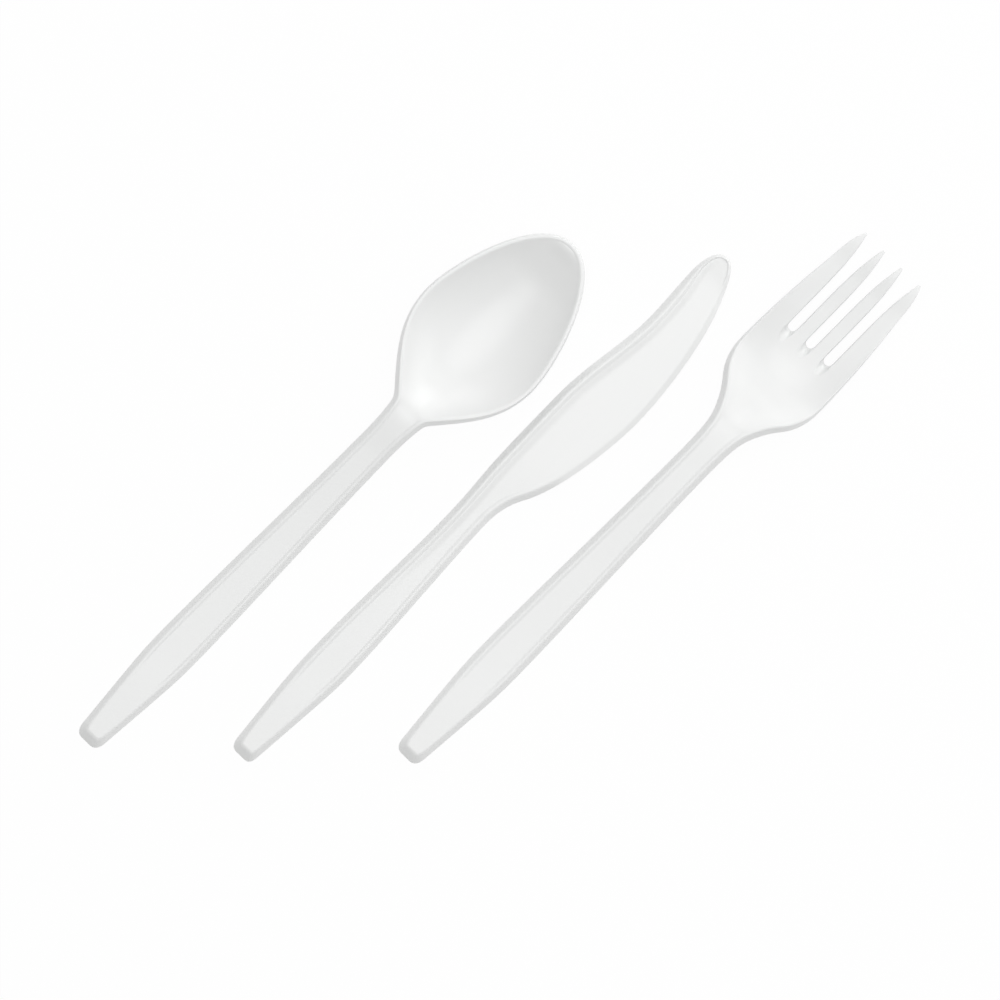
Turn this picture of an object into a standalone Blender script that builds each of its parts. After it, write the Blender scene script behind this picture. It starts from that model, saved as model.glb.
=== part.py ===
"""Plastic cutlery set: a moulded spoon, knife and fork, lying side by side as a table setting.

Each piece is one thin-walled injection moulding. Its handle is a channel, open below, with a panel
on top, drafted skirts along both sides and a skirt across its end. The skirts run on round the head
and fade into the rim of the spoon's bowl, the heel of the fork and the spine of the knife.

Each piece is drawn lying along +Y from its handle end, top up. A closed loop round its outline is
offset inwards ring by ring, up the skirt and over the edge bead, and a grid closes the panel, the
bowl or the blade inside it. The underside is the same loop and grid, one wall thickness below.
"""

import math
from dataclasses import dataclass
from typing import Callable

import bmesh
import bpy
import numpy as np
from mathutils import Vector

# Handle, shared by the spoon and the fork (metres)
END_FLAT_HALF = 0.0015
END_CORNER = 0.0026
END_CORNER_HALF = 0.0036
CORNER_TO_GRIP = 0.0314
GRIP_HALF = 0.0056
GRIP_TO_WAIST = 0.0610
WAIST_HALF = 0.0044

# Walls, shared by all three
SHEET = 0.0011
FOOT_LAND = 0.0009
SKIRT_RUN = 0.00115
END_SKIRT_STRETCH = 1.75
END_LEAN = 0.0090
SKIRT_DEPTH_END = 0.0031
SKIRT_DEPTH_GRIP = 0.0034
SKIRT_DEPTH_NECK = 0.0037
BEAD_LAND = 0.00035
BEAD_FALL = 0.0006
END_BEAD_SHARE = 0.25
PANEL_RECESS = 0.00022
RECESS_START = 0.0160
RECESS_FULL = 0.0300

# Spoon
SPOON_WAIST_TO_NECK = 0.0144
SPOON_NECK_HALF = 0.0051
NECK_TO_BOWL_WIDEST = 0.0240
BOWL_HALF = 0.01755
BOWL_WIDEST_TO_TIP = 0.0316
BOWL_DEPTH = 0.0074
BOWL_LIP = 0.0013
BOWL_LIP_RUN = 0.00035
BOWL_RIM_LAND = 0.00055
BOWL_RIM_FALL = 0.00030
BOWL_SPILL = 0.0070
BOWL_DEEPEST_PAST_WIDEST = 0.0040
BOWL_SIDE_POWER = 2.3
BOWL_NECK_LIFT = 0.0011
BOWL_SIDE_LIFT = 0.0002

# Fork
FORK_WAIST_TO_NECK = 0.0150
FORK_NECK_HALF = 0.0055
NECK_TO_SHOULDER = 0.0070
SHOULDER_HALF = 0.0095
SHOULDER_TO_HEEL = 0.0100
HEEL_HALF = 0.01287
HEEL_TO_TAPER = 0.0264
TAPER_HALF = 0.01125
TAPER_TO_TIP = 0.0116
HEEL_SHEET = 0.0019
TINE_TIP_SHEET = 0.0009
DISH_DEPTH = 0.0022
FORK_NECK_LIFT = 0.0037
TINE_RISE = 0.0052
TINE_PITCH = 0.0059
TINE_TIP_HALF = 0.0003
NECK_CROWN = 0.0020
HEEL_RUN = 0.00045
HEEL_LAND = 0.00020
HEEL_FALL = 0.00035
HEEL_FOOT = 0.00050
TINE_RUN = 0.00012
TINE_LAND = 0.00005
TINE_FALL = 0.00010
TINE_FOOT = 0.00015
SLOT_HALF = 0.00124
SLOT_DRAFT = 0.00008
SLOT_ROOT_PAST_HEEL = 0.0091
SLOT_SCOOP = 0.0062
SCOOP_TOP = 0.0027
SCOOP_POWER = 2.2
TINE_TAPER = 0.0200
TINE_TAPER_POWER = 3.3

# Knife
KNIFE_CORNER_HALF_SPINE = 0.0035
KNIFE_CORNER_HALF_EDGE = 0.00325
KNIFE_GRIP_HALF_SPINE = 0.00535
KNIFE_GRIP_HALF_EDGE = 0.0055
GRIP_TO_SPINE_WAIST = 0.0400
SPINE_WAIST_HALF = 0.0043
GRIP_TO_EDGE_WAIST = 0.0460
EDGE_WAIST_HALF = 0.00385
SPINE_WAIST_TO_RISE = 0.0160
SPINE_RISE_HALF = 0.0050
SPINE_RISE_LENGTH = 0.0230
SPINE_HUMP_HALF = 0.0052
SPINE_HUMP_TO_DIP = 0.0295
SPINE_DIP_HALF = 0.0022
SPINE_DIP_TO_TIP = 0.0145
SPINE_TIP_HALF = 0.0027
EDGE_WAIST_TO_CHOIL = 0.0100
CHOIL_HALF = 0.0064
CHOIL_TO_BELLY = 0.0320
BELLY_HALF = 0.0131
BELLY_TO_POINT = 0.0342
POINT_HALF = 0.00755
POINT_TO_TIP = 0.0088
TIP_SIDE_SHIFT = 0.0014
KNIFE_SPINE_DEPTH_NECK = 0.0040
KNIFE_SPINE_DEPTH_TIP = 0.0022
SPINE_RUN = 0.0013
SPINE_FILLET = 0.0018
RIB_HEIGHT = 0.0009
RIB_FALL = 0.0009
WEB_SHEET = 0.0010
BEVEL_RUN = 0.0014
BEVEL_DROP = 0.00055
EDGE_LAND = 0.0001
EDGE_FOOT = 0.0002
TIP_RUN = 0.00045
TIP_FALL = 0.00020
TIP_FOOT = 0.0003
TIP_CAP = 0.0006

# The set on the table: where each handle end lies, and the knife's slight turn
KNIFE_ACROSS = 0.0285
KNIFE_ALONG = 0.0232
KNIFE_TURN = math.radians(0.53)
FORK_ACROSS = 0.0566
FORK_ALONG = 0.0503

# Mesh fineness
COLUMNS = 10
CURVE_STEPS = 40
SLOT_NOSE_STEPS = 12
SLOT_TAPER_STEPS = 7
SCOOP_STEPS = 5

# Share of the skirt's width and of its height, from the foot up to the start of the bead
SKIRT_RINGS = ((0.0, 0.0), (0.80, 0.84), (1.0, 0.965), (1.3, 1.0))

# Stations that more than one curve uses
GRIP_AT = END_CORNER + CORNER_TO_GRIP
WAIST_AT = GRIP_AT + GRIP_TO_WAIST
SPOON_NECK_AT = WAIST_AT + SPOON_WAIST_TO_NECK
BOWL_WIDEST_AT = SPOON_NECK_AT + NECK_TO_BOWL_WIDEST
SPOON_LENGTH = BOWL_WIDEST_AT + BOWL_WIDEST_TO_TIP
FORK_NECK_AT = WAIST_AT + FORK_WAIST_TO_NECK
SHOULDER_AT = FORK_NECK_AT + NECK_TO_SHOULDER
HEEL_AT = SHOULDER_AT + SHOULDER_TO_HEEL
TAPER_AT = HEEL_AT + HEEL_TO_TAPER
FORK_LENGTH = TAPER_AT + TAPER_TO_TIP
SPINE_WAIST_AT = GRIP_AT + GRIP_TO_SPINE_WAIST
SPINE_RISE_AT = SPINE_WAIST_AT + SPINE_WAIST_TO_RISE
SPINE_HUMP_AT = SPINE_RISE_AT + SPINE_RISE_LENGTH
SPINE_DIP_AT = SPINE_HUMP_AT + SPINE_HUMP_TO_DIP
SPINE_TIP_AT = SPINE_DIP_AT + SPINE_DIP_TO_TIP
EDGE_WAIST_AT = GRIP_AT + GRIP_TO_EDGE_WAIST
CHOIL_AT = EDGE_WAIST_AT + EDGE_WAIST_TO_CHOIL
BELLY_AT = CHOIL_AT + CHOIL_TO_BELLY
POINT_AT = BELLY_AT + BELLY_TO_POINT
KNIFE_LENGTH = POINT_AT + POINT_TO_TIP


@dataclass
class Knot:
    """A point of an outline curve, with its heading in degrees from +Y and its handle lengths."""

    along: float
    out: float
    heading: float
    before: float = 0.0
    after: float = 0.0
    leaving: float | None = None


@dataclass
class Form:
    """The shape of one moulding, as functions of a place along it and a side, 0 left to 1 right."""

    name: str
    left: list[Knot]
    right: list[Knot]
    rows: list[float]
    crest: Callable[[float, float], float]
    depth: Callable[[float, float], float]
    run: Callable[[float, float], float]
    land: Callable[[float, float], float]
    fall: Callable[[float, float], float]
    recess: Callable[[float, float], float]
    foot: Callable[[float, float], float]
    sheet: Callable[[float], float]
    hollow: Callable[[float, float, float], float]


def mix(a: float, b: float, share: float) -> float:
    """The value a share of the way from a to b."""
    return a + (b - a) * share


def ease(low: float, high: float, value: float) -> float:
    """A smooth step from 0 at low to 1 at high."""
    t = min(max((value - low) / (high - low), 0.0), 1.0)
    return t * t * (3.0 - 2.0 * t)


def smooth(*points: tuple[float, float]) -> Callable[[float], float]:
    """A curve through points (place, value) that never overshoots between them."""
    xs = [p[0] for p in points]
    ys = [p[1] for p in points]
    steps = [(ys[i + 1] - ys[i]) / (xs[i + 1] - xs[i]) for i in range(len(xs) - 1)]
    slopes = [0.0] * len(xs)
    for i in range(1, len(xs) - 1):
        if steps[i - 1] * steps[i] > 0.0:
            before, after = xs[i] - xs[i - 1], xs[i + 1] - xs[i]
            slopes[i] = 3.0 * (before + after) / (
                (2.0 * after + before) / steps[i - 1] + (after + 2.0 * before) / steps[i])

    def value(x: float) -> float:
        if x <= xs[0]:
            return ys[0]
        if x >= xs[-1]:
            return ys[-1]
        i = max(k for k in range(len(xs) - 1) if xs[k] <= x)
        span = xs[i + 1] - xs[i]
        t = (x - xs[i]) / span
        return ((1 + 2 * t) * (1 - t) ** 2 * ys[i] + t * (1 - t) ** 2 * span * slopes[i]
                + t * t * (3 - 2 * t) * ys[i + 1] + t * t * (t - 1) * span * slopes[i + 1])

    return value


def trace(knots: list[Knot]) -> np.ndarray:
    """Points (along, out) on the curve through the knots."""
    points = [(knots[0].along, knots[0].out)]
    for a, b in zip(knots, knots[1:]):
        heading = a.heading if a.leaving is None else a.leaving
        start, end = np.array((a.along, a.out)), np.array((b.along, b.out))
        turn_a, turn_b = math.radians(heading), math.radians(b.heading)
        pull_a = start + a.after * np.array((math.cos(turn_a), math.sin(turn_a)))
        pull_b = end - b.before * np.array((math.cos(turn_b), math.sin(turn_b)))
        for k in range(1, CURVE_STEPS + 1):
            t = k / CURVE_STEPS
            points.append((1 - t) ** 3 * start + 3 * (1 - t) ** 2 * t * pull_a
                          + 3 * (1 - t) * t * t * pull_b + t ** 3 * end)
    return np.array(points)


def spread(start: float, end: float, count: int) -> list[float]:
    """Evenly spaced places from start up to, and without, end."""
    return [mix(start, end, k / count) for k in range(count)]


def columns() -> list[float]:
    """Places across a grid from -1 to 1, closer together towards its sides."""
    return [math.sin(math.pi / 2 * (2 * j / COLUMNS - 1)) for j in range(COLUMNS + 1)]


class Moulding:
    """Builds the closed mesh of one Form from rings round its outline and two grids."""

    def __init__(self, form: Form) -> None:
        self.form = form
        self.across = columns()
        self.last = len(form.rows) - 1
        self.outline, self.sides = self.base_loop()
        self.inward = self.inward_directions()

    def base_loop(self) -> tuple[np.ndarray, list[float]]:
        """The outline as a loop: up the left side, over the tip, down the right, across the end."""
        left, right = trace(self.form.left), trace(self.form.right)
        rows = self.form.rows
        left_side = [(-np.interp(y, left[:, 0], left[:, 1]), y) for y in rows[1:]]
        right_side = [(np.interp(y, right[:, 0], right[:, 1]), y) for y in rows[1:]]
        left_side.insert(0, (-left[0, 1], 0.0))
        right_side.insert(0, (right[0, 1], 0.0))
        tip = [(-p[1], p[0]) for p in left if p[0] > rows[-1]]
        tip += [(p[1], p[0]) for p in reversed(right) if p[0] > rows[-1]]
        arc = np.array([left_side[-1], *tip, right_side[-1]])
        run = np.concatenate(([0.0], np.cumsum(np.hypot(*np.diff(arc, axis=0).T))))
        shares = [(u + 1) / 2 for u in self.across[1:-1]]
        cap = [(np.interp(s * run[-1], run, arc[:, 0]), np.interp(s * run[-1], run, arc[:, 1]))
               for s in shares]
        end = [(mix(left_side[0][0], right_side[0][0], s), 0.0) for s in shares]
        loop = np.array(left_side + cap + right_side[::-1] + end[::-1])
        count = len(rows)
        return loop, [0.0] * count + shares + [1.0] * count + shares[::-1]

    def inward_directions(self) -> np.ndarray:
        """The direction into the piece at each point of the outline.

        Near the handle end it leans along the piece, so that the end skirt slopes more than the
        side skirts do and the rows stay in order. Across the end it turns evenly from one corner
        to the other, so that the columns stay in order too.
        """
        tangent = np.roll(self.outline, -1, axis=0) - np.roll(self.outline, 1, axis=0)
        tangent /= np.linalg.norm(tangent, axis=1)[:, None]
        inward = np.stack((tangent[:, 1], -tangent[:, 0]), axis=1)
        lean = END_SKIRT_STRETCH * np.clip(1.0 - self.outline[:, 1] / END_LEAN, 0.0, 1.0)
        near_end = lean > 0.0
        inward[near_end, 1] = np.maximum(lean, inward[:, 1])[near_end]
        across_end = len(self.outline) - (COLUMNS - 1)
        shares = np.array(self.sides[across_end:])
        inward[across_end:, 0] = mix(inward[0, 0], inward[across_end - 1, 0], shares)
        return inward

    def ring(self, inset: Callable[[float, float], float],
             height: Callable[[float, float, float], float]) -> np.ndarray:
        """One ring: inset(along, side) moves the outline in, height(along, side, inset) lifts it."""
        points = []
        for (x, y), side, inward in zip(self.outline, self.sides, self.inward):
            amount = inset(y, side)
            place = (x + inward[0] * amount, y + inward[1] * amount)
            points.append((*place, height(y, side, place[1])))
        return np.array(points)

    def top_rings(self) -> list[np.ndarray]:
        """The skirt from its foot up, the crest of the edge bead and the bead's inner foot."""
        form = self.form
        rings = []
        for width, lift in SKIRT_RINGS:
            rings.append(self.ring(
                lambda y, s, width=width: width * form.run(y, s),
                lambda y, s, at, lift=lift: form.crest(at, s) - (1 - lift) * form.depth(y, s)))
        start = SKIRT_RINGS[-1][0]
        rings.append(self.ring(
            lambda y, s: start * form.run(y, s) + form.land(y, s),
            lambda y, s, at: form.crest(at, s)))
        rings.append(self.ring(
            lambda y, s: start * form.run(y, s) + form.land(y, s) + form.fall(y, s),
            lambda y, s, at: form.crest(at, s) - form.recess(at, s)))
        return rings

    def grid(self, ring: np.ndarray) -> np.ndarray:
        """Points inside a ring, as rows from side to side, with the top surface's heights."""
        count, width = self.last + 1, COLUMNS - 1
        left = ring[:count]
        cap = np.vstack((ring[count - 1], ring[count:count + width], ring[count + width]))
        right = ring[count + width:2 * count + width][::-1]
        end = np.vstack((left[0], ring[2 * count + width:][::-1], right[0]))
        share = (np.array(self.across) + 1) / 2
        chord_cap = cap[0] + np.outer(share, cap[-1] - cap[0])
        points = np.zeros((count, COLUMNS + 1, 3))
        tip_zone = self.outline[count + width // 2, 1] - 2.5 * abs(right[-1, 0])
        for i in range(count):
            row = left[i] + np.outer(share, right[i] - left[i])
            bow = ease(tip_zone, left[-1, 1], left[i, 1])
            row += bow ** 2 * (cap - chord_cap)
            if 0 < i < self.last:
                for j in range(1, COLUMNS):
                    x, y, z = row[j]
                    row[j, 2] = z - self.form.hollow(y, self.across[j], abs(right[i, 0] - left[i, 0]))
            points[i] = row
        points[0], points[-1] = end, cap
        return points

    def under_grid(self, top: np.ndarray) -> np.ndarray:
        """The top grid lowered by the sheet's thickness, measured square to the surface."""
        along, across = np.gradient(top, axis=0), np.gradient(top, axis=1)
        normal = np.cross(across, along)
        steepness = np.linalg.norm(normal, axis=2) / np.abs(normal[:, :, 2])
        under = top.copy()
        sheet = np.vectorize(self.form.sheet)(top[:, :, 1])
        under[:, :, 2] -= sheet * np.minimum(steepness, 1.6)
        return under

    def boundary(self, grid: np.ndarray) -> np.ndarray:
        """A grid's own border, in the order of the rings."""
        return np.vstack((grid[:, 0], grid[-1, 1:-1], grid[::-1, -1], grid[0, -2:0:-1]))

    def under_rings(self, inner: np.ndarray) -> list[np.ndarray]:
        """The foot's inner edge and the skirt's inner wall, up to the inner ring."""
        form = self.form
        foot = self.ring(lambda y, s: form.foot(y, s), lambda y, s, at: form.crest(y, s) - form.depth(y, s))
        wall = foot + (inner - foot) * np.array((0.68, 0.68, 0.86))
        return [foot, wall]

    def build(self) -> bpy.types.Object:
        """The closed mesh, as an object at the handle end."""
        rings = self.top_rings()
        top = self.grid(rings[-1])
        under = self.under_grid(top)
        inner = self.boundary(under)
        loops = [inner, *self.under_rings(inner)[::-1], *rings]
        mesh = bmesh.new()
        verts = [[mesh.verts.new(p) for p in loop] for loop in loops]
        for low, high in zip(verts, verts[1:]):
            for n in range(len(low)):
                k = (n + 1) % len(low)
                mesh.faces.new((low[n], low[k], high[k], high[n]))
        self.fill(mesh, top, verts[-1])
        self.fill(mesh, under, verts[0])
        bmesh.ops.recalc_face_normals(mesh, faces=mesh.faces)
        data = bpy.data.meshes.new(self.form.name)
        mesh.to_mesh(data)
        mesh.free()
        data.shade_smooth()
        data.set_sharp_from_angle(angle=math.radians(40))
        return add_object(self.form.name, data)

    def fill(self, mesh: bmesh.types.BMesh, grid: np.ndarray, border: list) -> None:
        """Faces over a grid whose border vertices are there already."""
        count, width = self.last + 1, COLUMNS - 1
        table = [[None] * (COLUMNS + 1) for _ in range(count)]
        for i in range(count):
            table[i][0] = border[i]
            table[i][-1] = border[2 * count + width - 1 - i]
        for j in range(1, COLUMNS):
            table[-1][j] = border[count + j - 1]
            table[0][j] = border[len(border) - j]
            for i in range(1, count - 1):
                table[i][j] = mesh.verts.new(grid[i, j])
        for i in range(count - 1):
            for j in range(COLUMNS):
                mesh.faces.new((table[i][j], table[i][j + 1], table[i + 1][j + 1], table[i + 1][j]))


def add_object(name: str, data: bpy.types.Mesh) -> bpy.types.Object:
    """An object for a mesh, linked to the scene."""
    item = bpy.data.objects.new(name, data)
    bpy.context.scene.collection.objects.link(item)
    return item


def handle_knots(corner_half: float, grip_half: float) -> list[Knot]:
    """The outline from the handle end to the widest place of the grip."""
    return [
        Knot(0.0, END_FLAT_HALF, 90, after=END_CORNER / 2),
        Knot(END_CORNER, corner_half, 5, before=END_CORNER / 2, after=CORNER_TO_GRIP * 0.75),
        Knot(GRIP_AT, grip_half, 0, before=CORNER_TO_GRIP * 0.3, after=CORNER_TO_GRIP * 0.35),
    ]


def handle_rows() -> list[float]:
    """Rows close together round the end's corners, then wider apart along the grip."""
    corner = [END_CORNER * (1 - math.cos(math.pi / 2 * k / 4)) for k in range(4)]
    return corner + spread(END_CORNER, END_CORNER * 2.2, 2) + spread(END_CORNER * 2.2, GRIP_AT, 5)


def handle_recess(y: float, _side: float) -> float:
    """How far the panel lies below the bead: nothing at the crowned end, then the full recess."""
    return PANEL_RECESS * ease(RECESS_START, RECESS_FULL, y)


def bead_share(y: float) -> float:
    """How much of the bead's width is there: little round the narrow handle end, then all."""
    return mix(END_BEAD_SHARE, 1.0, ease(END_CORNER, RECESS_START, y))


def spoon_form() -> Form:
    """The spoon: the handle rises to the neck, spills into the bowl, and its skirts become the lip."""
    rim = BOWL_DEPTH + SHEET + PANEL_RECESS
    neck = rim + BOWL_NECK_LIFT
    outline = handle_knots(END_CORNER_HALF, GRIP_HALF) + [
        Knot(WAIST_AT, WAIST_HALF, 0, before=GRIP_TO_WAIST * 0.172, after=SPOON_WAIST_TO_NECK * 0.14),
        Knot(SPOON_NECK_AT, SPOON_NECK_HALF, 10, before=SPOON_WAIST_TO_NECK * 0.417,
             after=NECK_TO_BOWL_WIDEST * 0.383, leaving=40),
        Knot(BOWL_WIDEST_AT, BOWL_HALF, 0, before=NECK_TO_BOWL_WIDEST * 0.454,
             after=BOWL_WIDEST_TO_TIP * 0.263),
        Knot(SPOON_LENGTH, 0.0, -90, before=BOWL_HALF * 0.632),
    ]
    crest = smooth(
        (0.0, SKIRT_DEPTH_END), (GRIP_AT, SKIRT_DEPTH_GRIP),
        (mix(GRIP_AT, WAIST_AT, 0.45), mix(SKIRT_DEPTH_GRIP, neck, 0.22)),
        (WAIST_AT, mix(SKIRT_DEPTH_GRIP, neck, 0.76)), (SPOON_NECK_AT, neck),
        (BOWL_WIDEST_AT, rim + BOWL_SIDE_LIFT), (SPOON_LENGTH, rim))
    depth = smooth(
        (0.0, SKIRT_DEPTH_END), (GRIP_AT, SKIRT_DEPTH_GRIP), (WAIST_AT, SKIRT_DEPTH_NECK),
        (SPOON_NECK_AT, SKIRT_DEPTH_NECK * 0.9), (BOWL_WIDEST_AT, BOWL_LIP))
    run = smooth((WAIST_AT, SKIRT_RUN), (SPOON_NECK_AT, SKIRT_RUN * 0.8), (BOWL_WIDEST_AT, BOWL_LIP_RUN))
    land = smooth((SPOON_NECK_AT, BEAD_LAND), (BOWL_WIDEST_AT, BOWL_RIM_LAND))
    fall = smooth((WAIST_AT, BEAD_FALL), (BOWL_WIDEST_AT, BOWL_RIM_FALL))
    foot = smooth((WAIST_AT, FOOT_LAND), (BOWL_WIDEST_AT, BOWL_RIM_LAND))
    deepest = BOWL_WIDEST_AT + BOWL_DEEPEST_PAST_WIDEST
    dip = smooth(
        (SPOON_NECK_AT - BOWL_SPILL, 0.0), (SPOON_NECK_AT, BOWL_DEPTH * 0.10),
        (SPOON_NECK_AT + NECK_TO_BOWL_WIDEST * 0.33, BOWL_DEPTH * 0.62),
        (SPOON_NECK_AT + NECK_TO_BOWL_WIDEST * 0.66, BOWL_DEPTH * 0.90),
        (deepest, BOWL_DEPTH), (mix(deepest, SPOON_LENGTH, 0.5), BOWL_DEPTH * 0.80),
        (mix(deepest, SPOON_LENGTH, 0.8), BOWL_DEPTH * 0.30), (SPOON_LENGTH - BOWL_LIP, 0.0))
    rows = (handle_rows() + spread(GRIP_AT, WAIST_AT, 8) + spread(WAIST_AT, SPOON_NECK_AT, 4)
            + spread(SPOON_NECK_AT, BOWL_WIDEST_AT, 10)
            + [BOWL_WIDEST_AT + (BOWL_WIDEST_TO_TIP - BOWL_LIP) * math.sin(math.pi / 2 * k / 12)
               for k in range(13)])
    return Form(
        "spoon", outline, outline, rows,
        crest=lambda y, s: crest(y), depth=lambda y, s: min(depth(y), crest(y)), run=lambda y, s: run(y),
        land=lambda y, s: land(y) * bead_share(y), fall=lambda y, s: fall(y) * bead_share(y),
        recess=handle_recess, foot=lambda y, s: foot(y), sheet=lambda y: SHEET,
        hollow=lambda y, u, w: dip(y) * (1 - abs(u) ** BOWL_SIDE_POWER))


def fork_form() -> Form:
    """The fork before its slots are cut: a dished head that rests on its heel and rises to the tips."""
    heel = HEEL_SHEET + PANEL_RECESS + DISH_DEPTH
    neck = heel + FORK_NECK_LIFT
    tip = HEEL_SHEET + TINE_RISE
    outline = handle_knots(END_CORNER_HALF, GRIP_HALF) + [
        Knot(WAIST_AT, WAIST_HALF, 0, before=GRIP_TO_WAIST * 0.172, after=FORK_WAIST_TO_NECK * 0.287),
        Knot(FORK_NECK_AT, FORK_NECK_HALF, 22, before=FORK_WAIST_TO_NECK * 0.233,
             after=NECK_TO_SHOULDER * 0.314),
        Knot(SHOULDER_AT, SHOULDER_HALF, 41, before=NECK_TO_SHOULDER * 0.429,
             after=SHOULDER_TO_HEEL * 0.36),
        Knot(HEEL_AT, HEEL_HALF, 0, before=SHOULDER_TO_HEEL * 0.4, after=HEEL_TO_TAPER * 0.303),
        Knot(TAPER_AT, TAPER_HALF, -7, before=HEEL_TO_TAPER * 0.303, after=TAPER_TO_TIP * 0.345),
        Knot(FORK_LENGTH, 1.5 * TINE_PITCH + TINE_TIP_HALF, -28, before=TAPER_TO_TIP * 0.345),
    ]
    lowest = HEEL_AT + SHOULDER_TO_HEEL * 0.4
    crest = smooth(
        (0.0, SKIRT_DEPTH_END), (GRIP_AT, SKIRT_DEPTH_GRIP),
        (mix(GRIP_AT, WAIST_AT, 0.45), mix(SKIRT_DEPTH_GRIP, neck, 0.26)),
        (WAIST_AT, mix(SKIRT_DEPTH_GRIP, neck, 0.82)), (FORK_NECK_AT - NECK_CROWN, neck),
        (SHOULDER_AT, mix(heel, neck, 0.80)), (mix(SHOULDER_AT, HEEL_AT, 0.5), mix(heel, neck, 0.45)),
        (HEEL_AT, mix(heel, neck, 0.10)), (lowest, heel),
        (mix(lowest, FORK_LENGTH, 0.35), mix(heel, tip, 0.14)),
        (mix(lowest, FORK_LENGTH, 0.7), mix(heel, tip, 0.50)), (FORK_LENGTH, tip))
    depth = smooth(
        (0.0, SKIRT_DEPTH_END), (GRIP_AT, SKIRT_DEPTH_GRIP), (WAIST_AT, SKIRT_DEPTH_NECK),
        (FORK_NECK_AT, SKIRT_DEPTH_NECK), (HEEL_AT, HEEL_SHEET * 1.1), (FORK_LENGTH, TINE_TIP_SHEET))
    run = smooth(
        (WAIST_AT, SKIRT_RUN), (SHOULDER_AT, SKIRT_RUN), (HEEL_AT, HEEL_RUN), (FORK_LENGTH, TINE_RUN))
    land = smooth((FORK_NECK_AT, BEAD_LAND), (HEEL_AT, HEEL_LAND), (FORK_LENGTH, TINE_LAND))
    fall = smooth((WAIST_AT, BEAD_FALL), (HEEL_AT, HEEL_FALL), (FORK_LENGTH, TINE_FALL))
    foot = smooth((WAIST_AT, FOOT_LAND), (HEEL_AT, HEEL_FOOT), (FORK_LENGTH, TINE_FOOT))
    recess = smooth(
        (RECESS_START, 0.0), (RECESS_FULL, PANEL_RECESS), (HEEL_AT, PANEL_RECESS), (TAPER_AT, 0.0))
    sheet = smooth(
        (WAIST_AT, SHEET), (HEEL_AT, HEEL_SHEET), (TAPER_AT, HEEL_SHEET * 0.9),
        (FORK_LENGTH, TINE_TIP_SHEET))
    dip = smooth(
        (FORK_NECK_AT - NECK_CROWN, 0.0), (SHOULDER_AT, DISH_DEPTH * 0.75),
        (mix(SHOULDER_AT, HEEL_AT, 0.55), DISH_DEPTH * 1.15), (lowest, DISH_DEPTH),
        (mix(lowest, FORK_LENGTH, 0.35), DISH_DEPTH * 0.55), (FORK_LENGTH, 0.0))
    rows = (handle_rows() + spread(GRIP_AT, WAIST_AT, 8) + spread(WAIST_AT, FORK_NECK_AT, 5)
            + spread(FORK_NECK_AT, HEEL_AT, 12) + spread(HEEL_AT, FORK_LENGTH, 14) + [FORK_LENGTH])
    return Form(
        "fork", outline, outline, rows,
        crest=lambda y, s: crest(y), depth=lambda y, s: min(depth(y), crest(y)), run=lambda y, s: run(y),
        land=lambda y, s: land(y) * bead_share(y), fall=lambda y, s: fall(y) * bead_share(y),
        recess=lambda y, s: recess(y), foot=lambda y, s: foot(y), sheet=sheet,
        hollow=lambda y, u, w: dip(y) * (1 - u * u))


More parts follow.
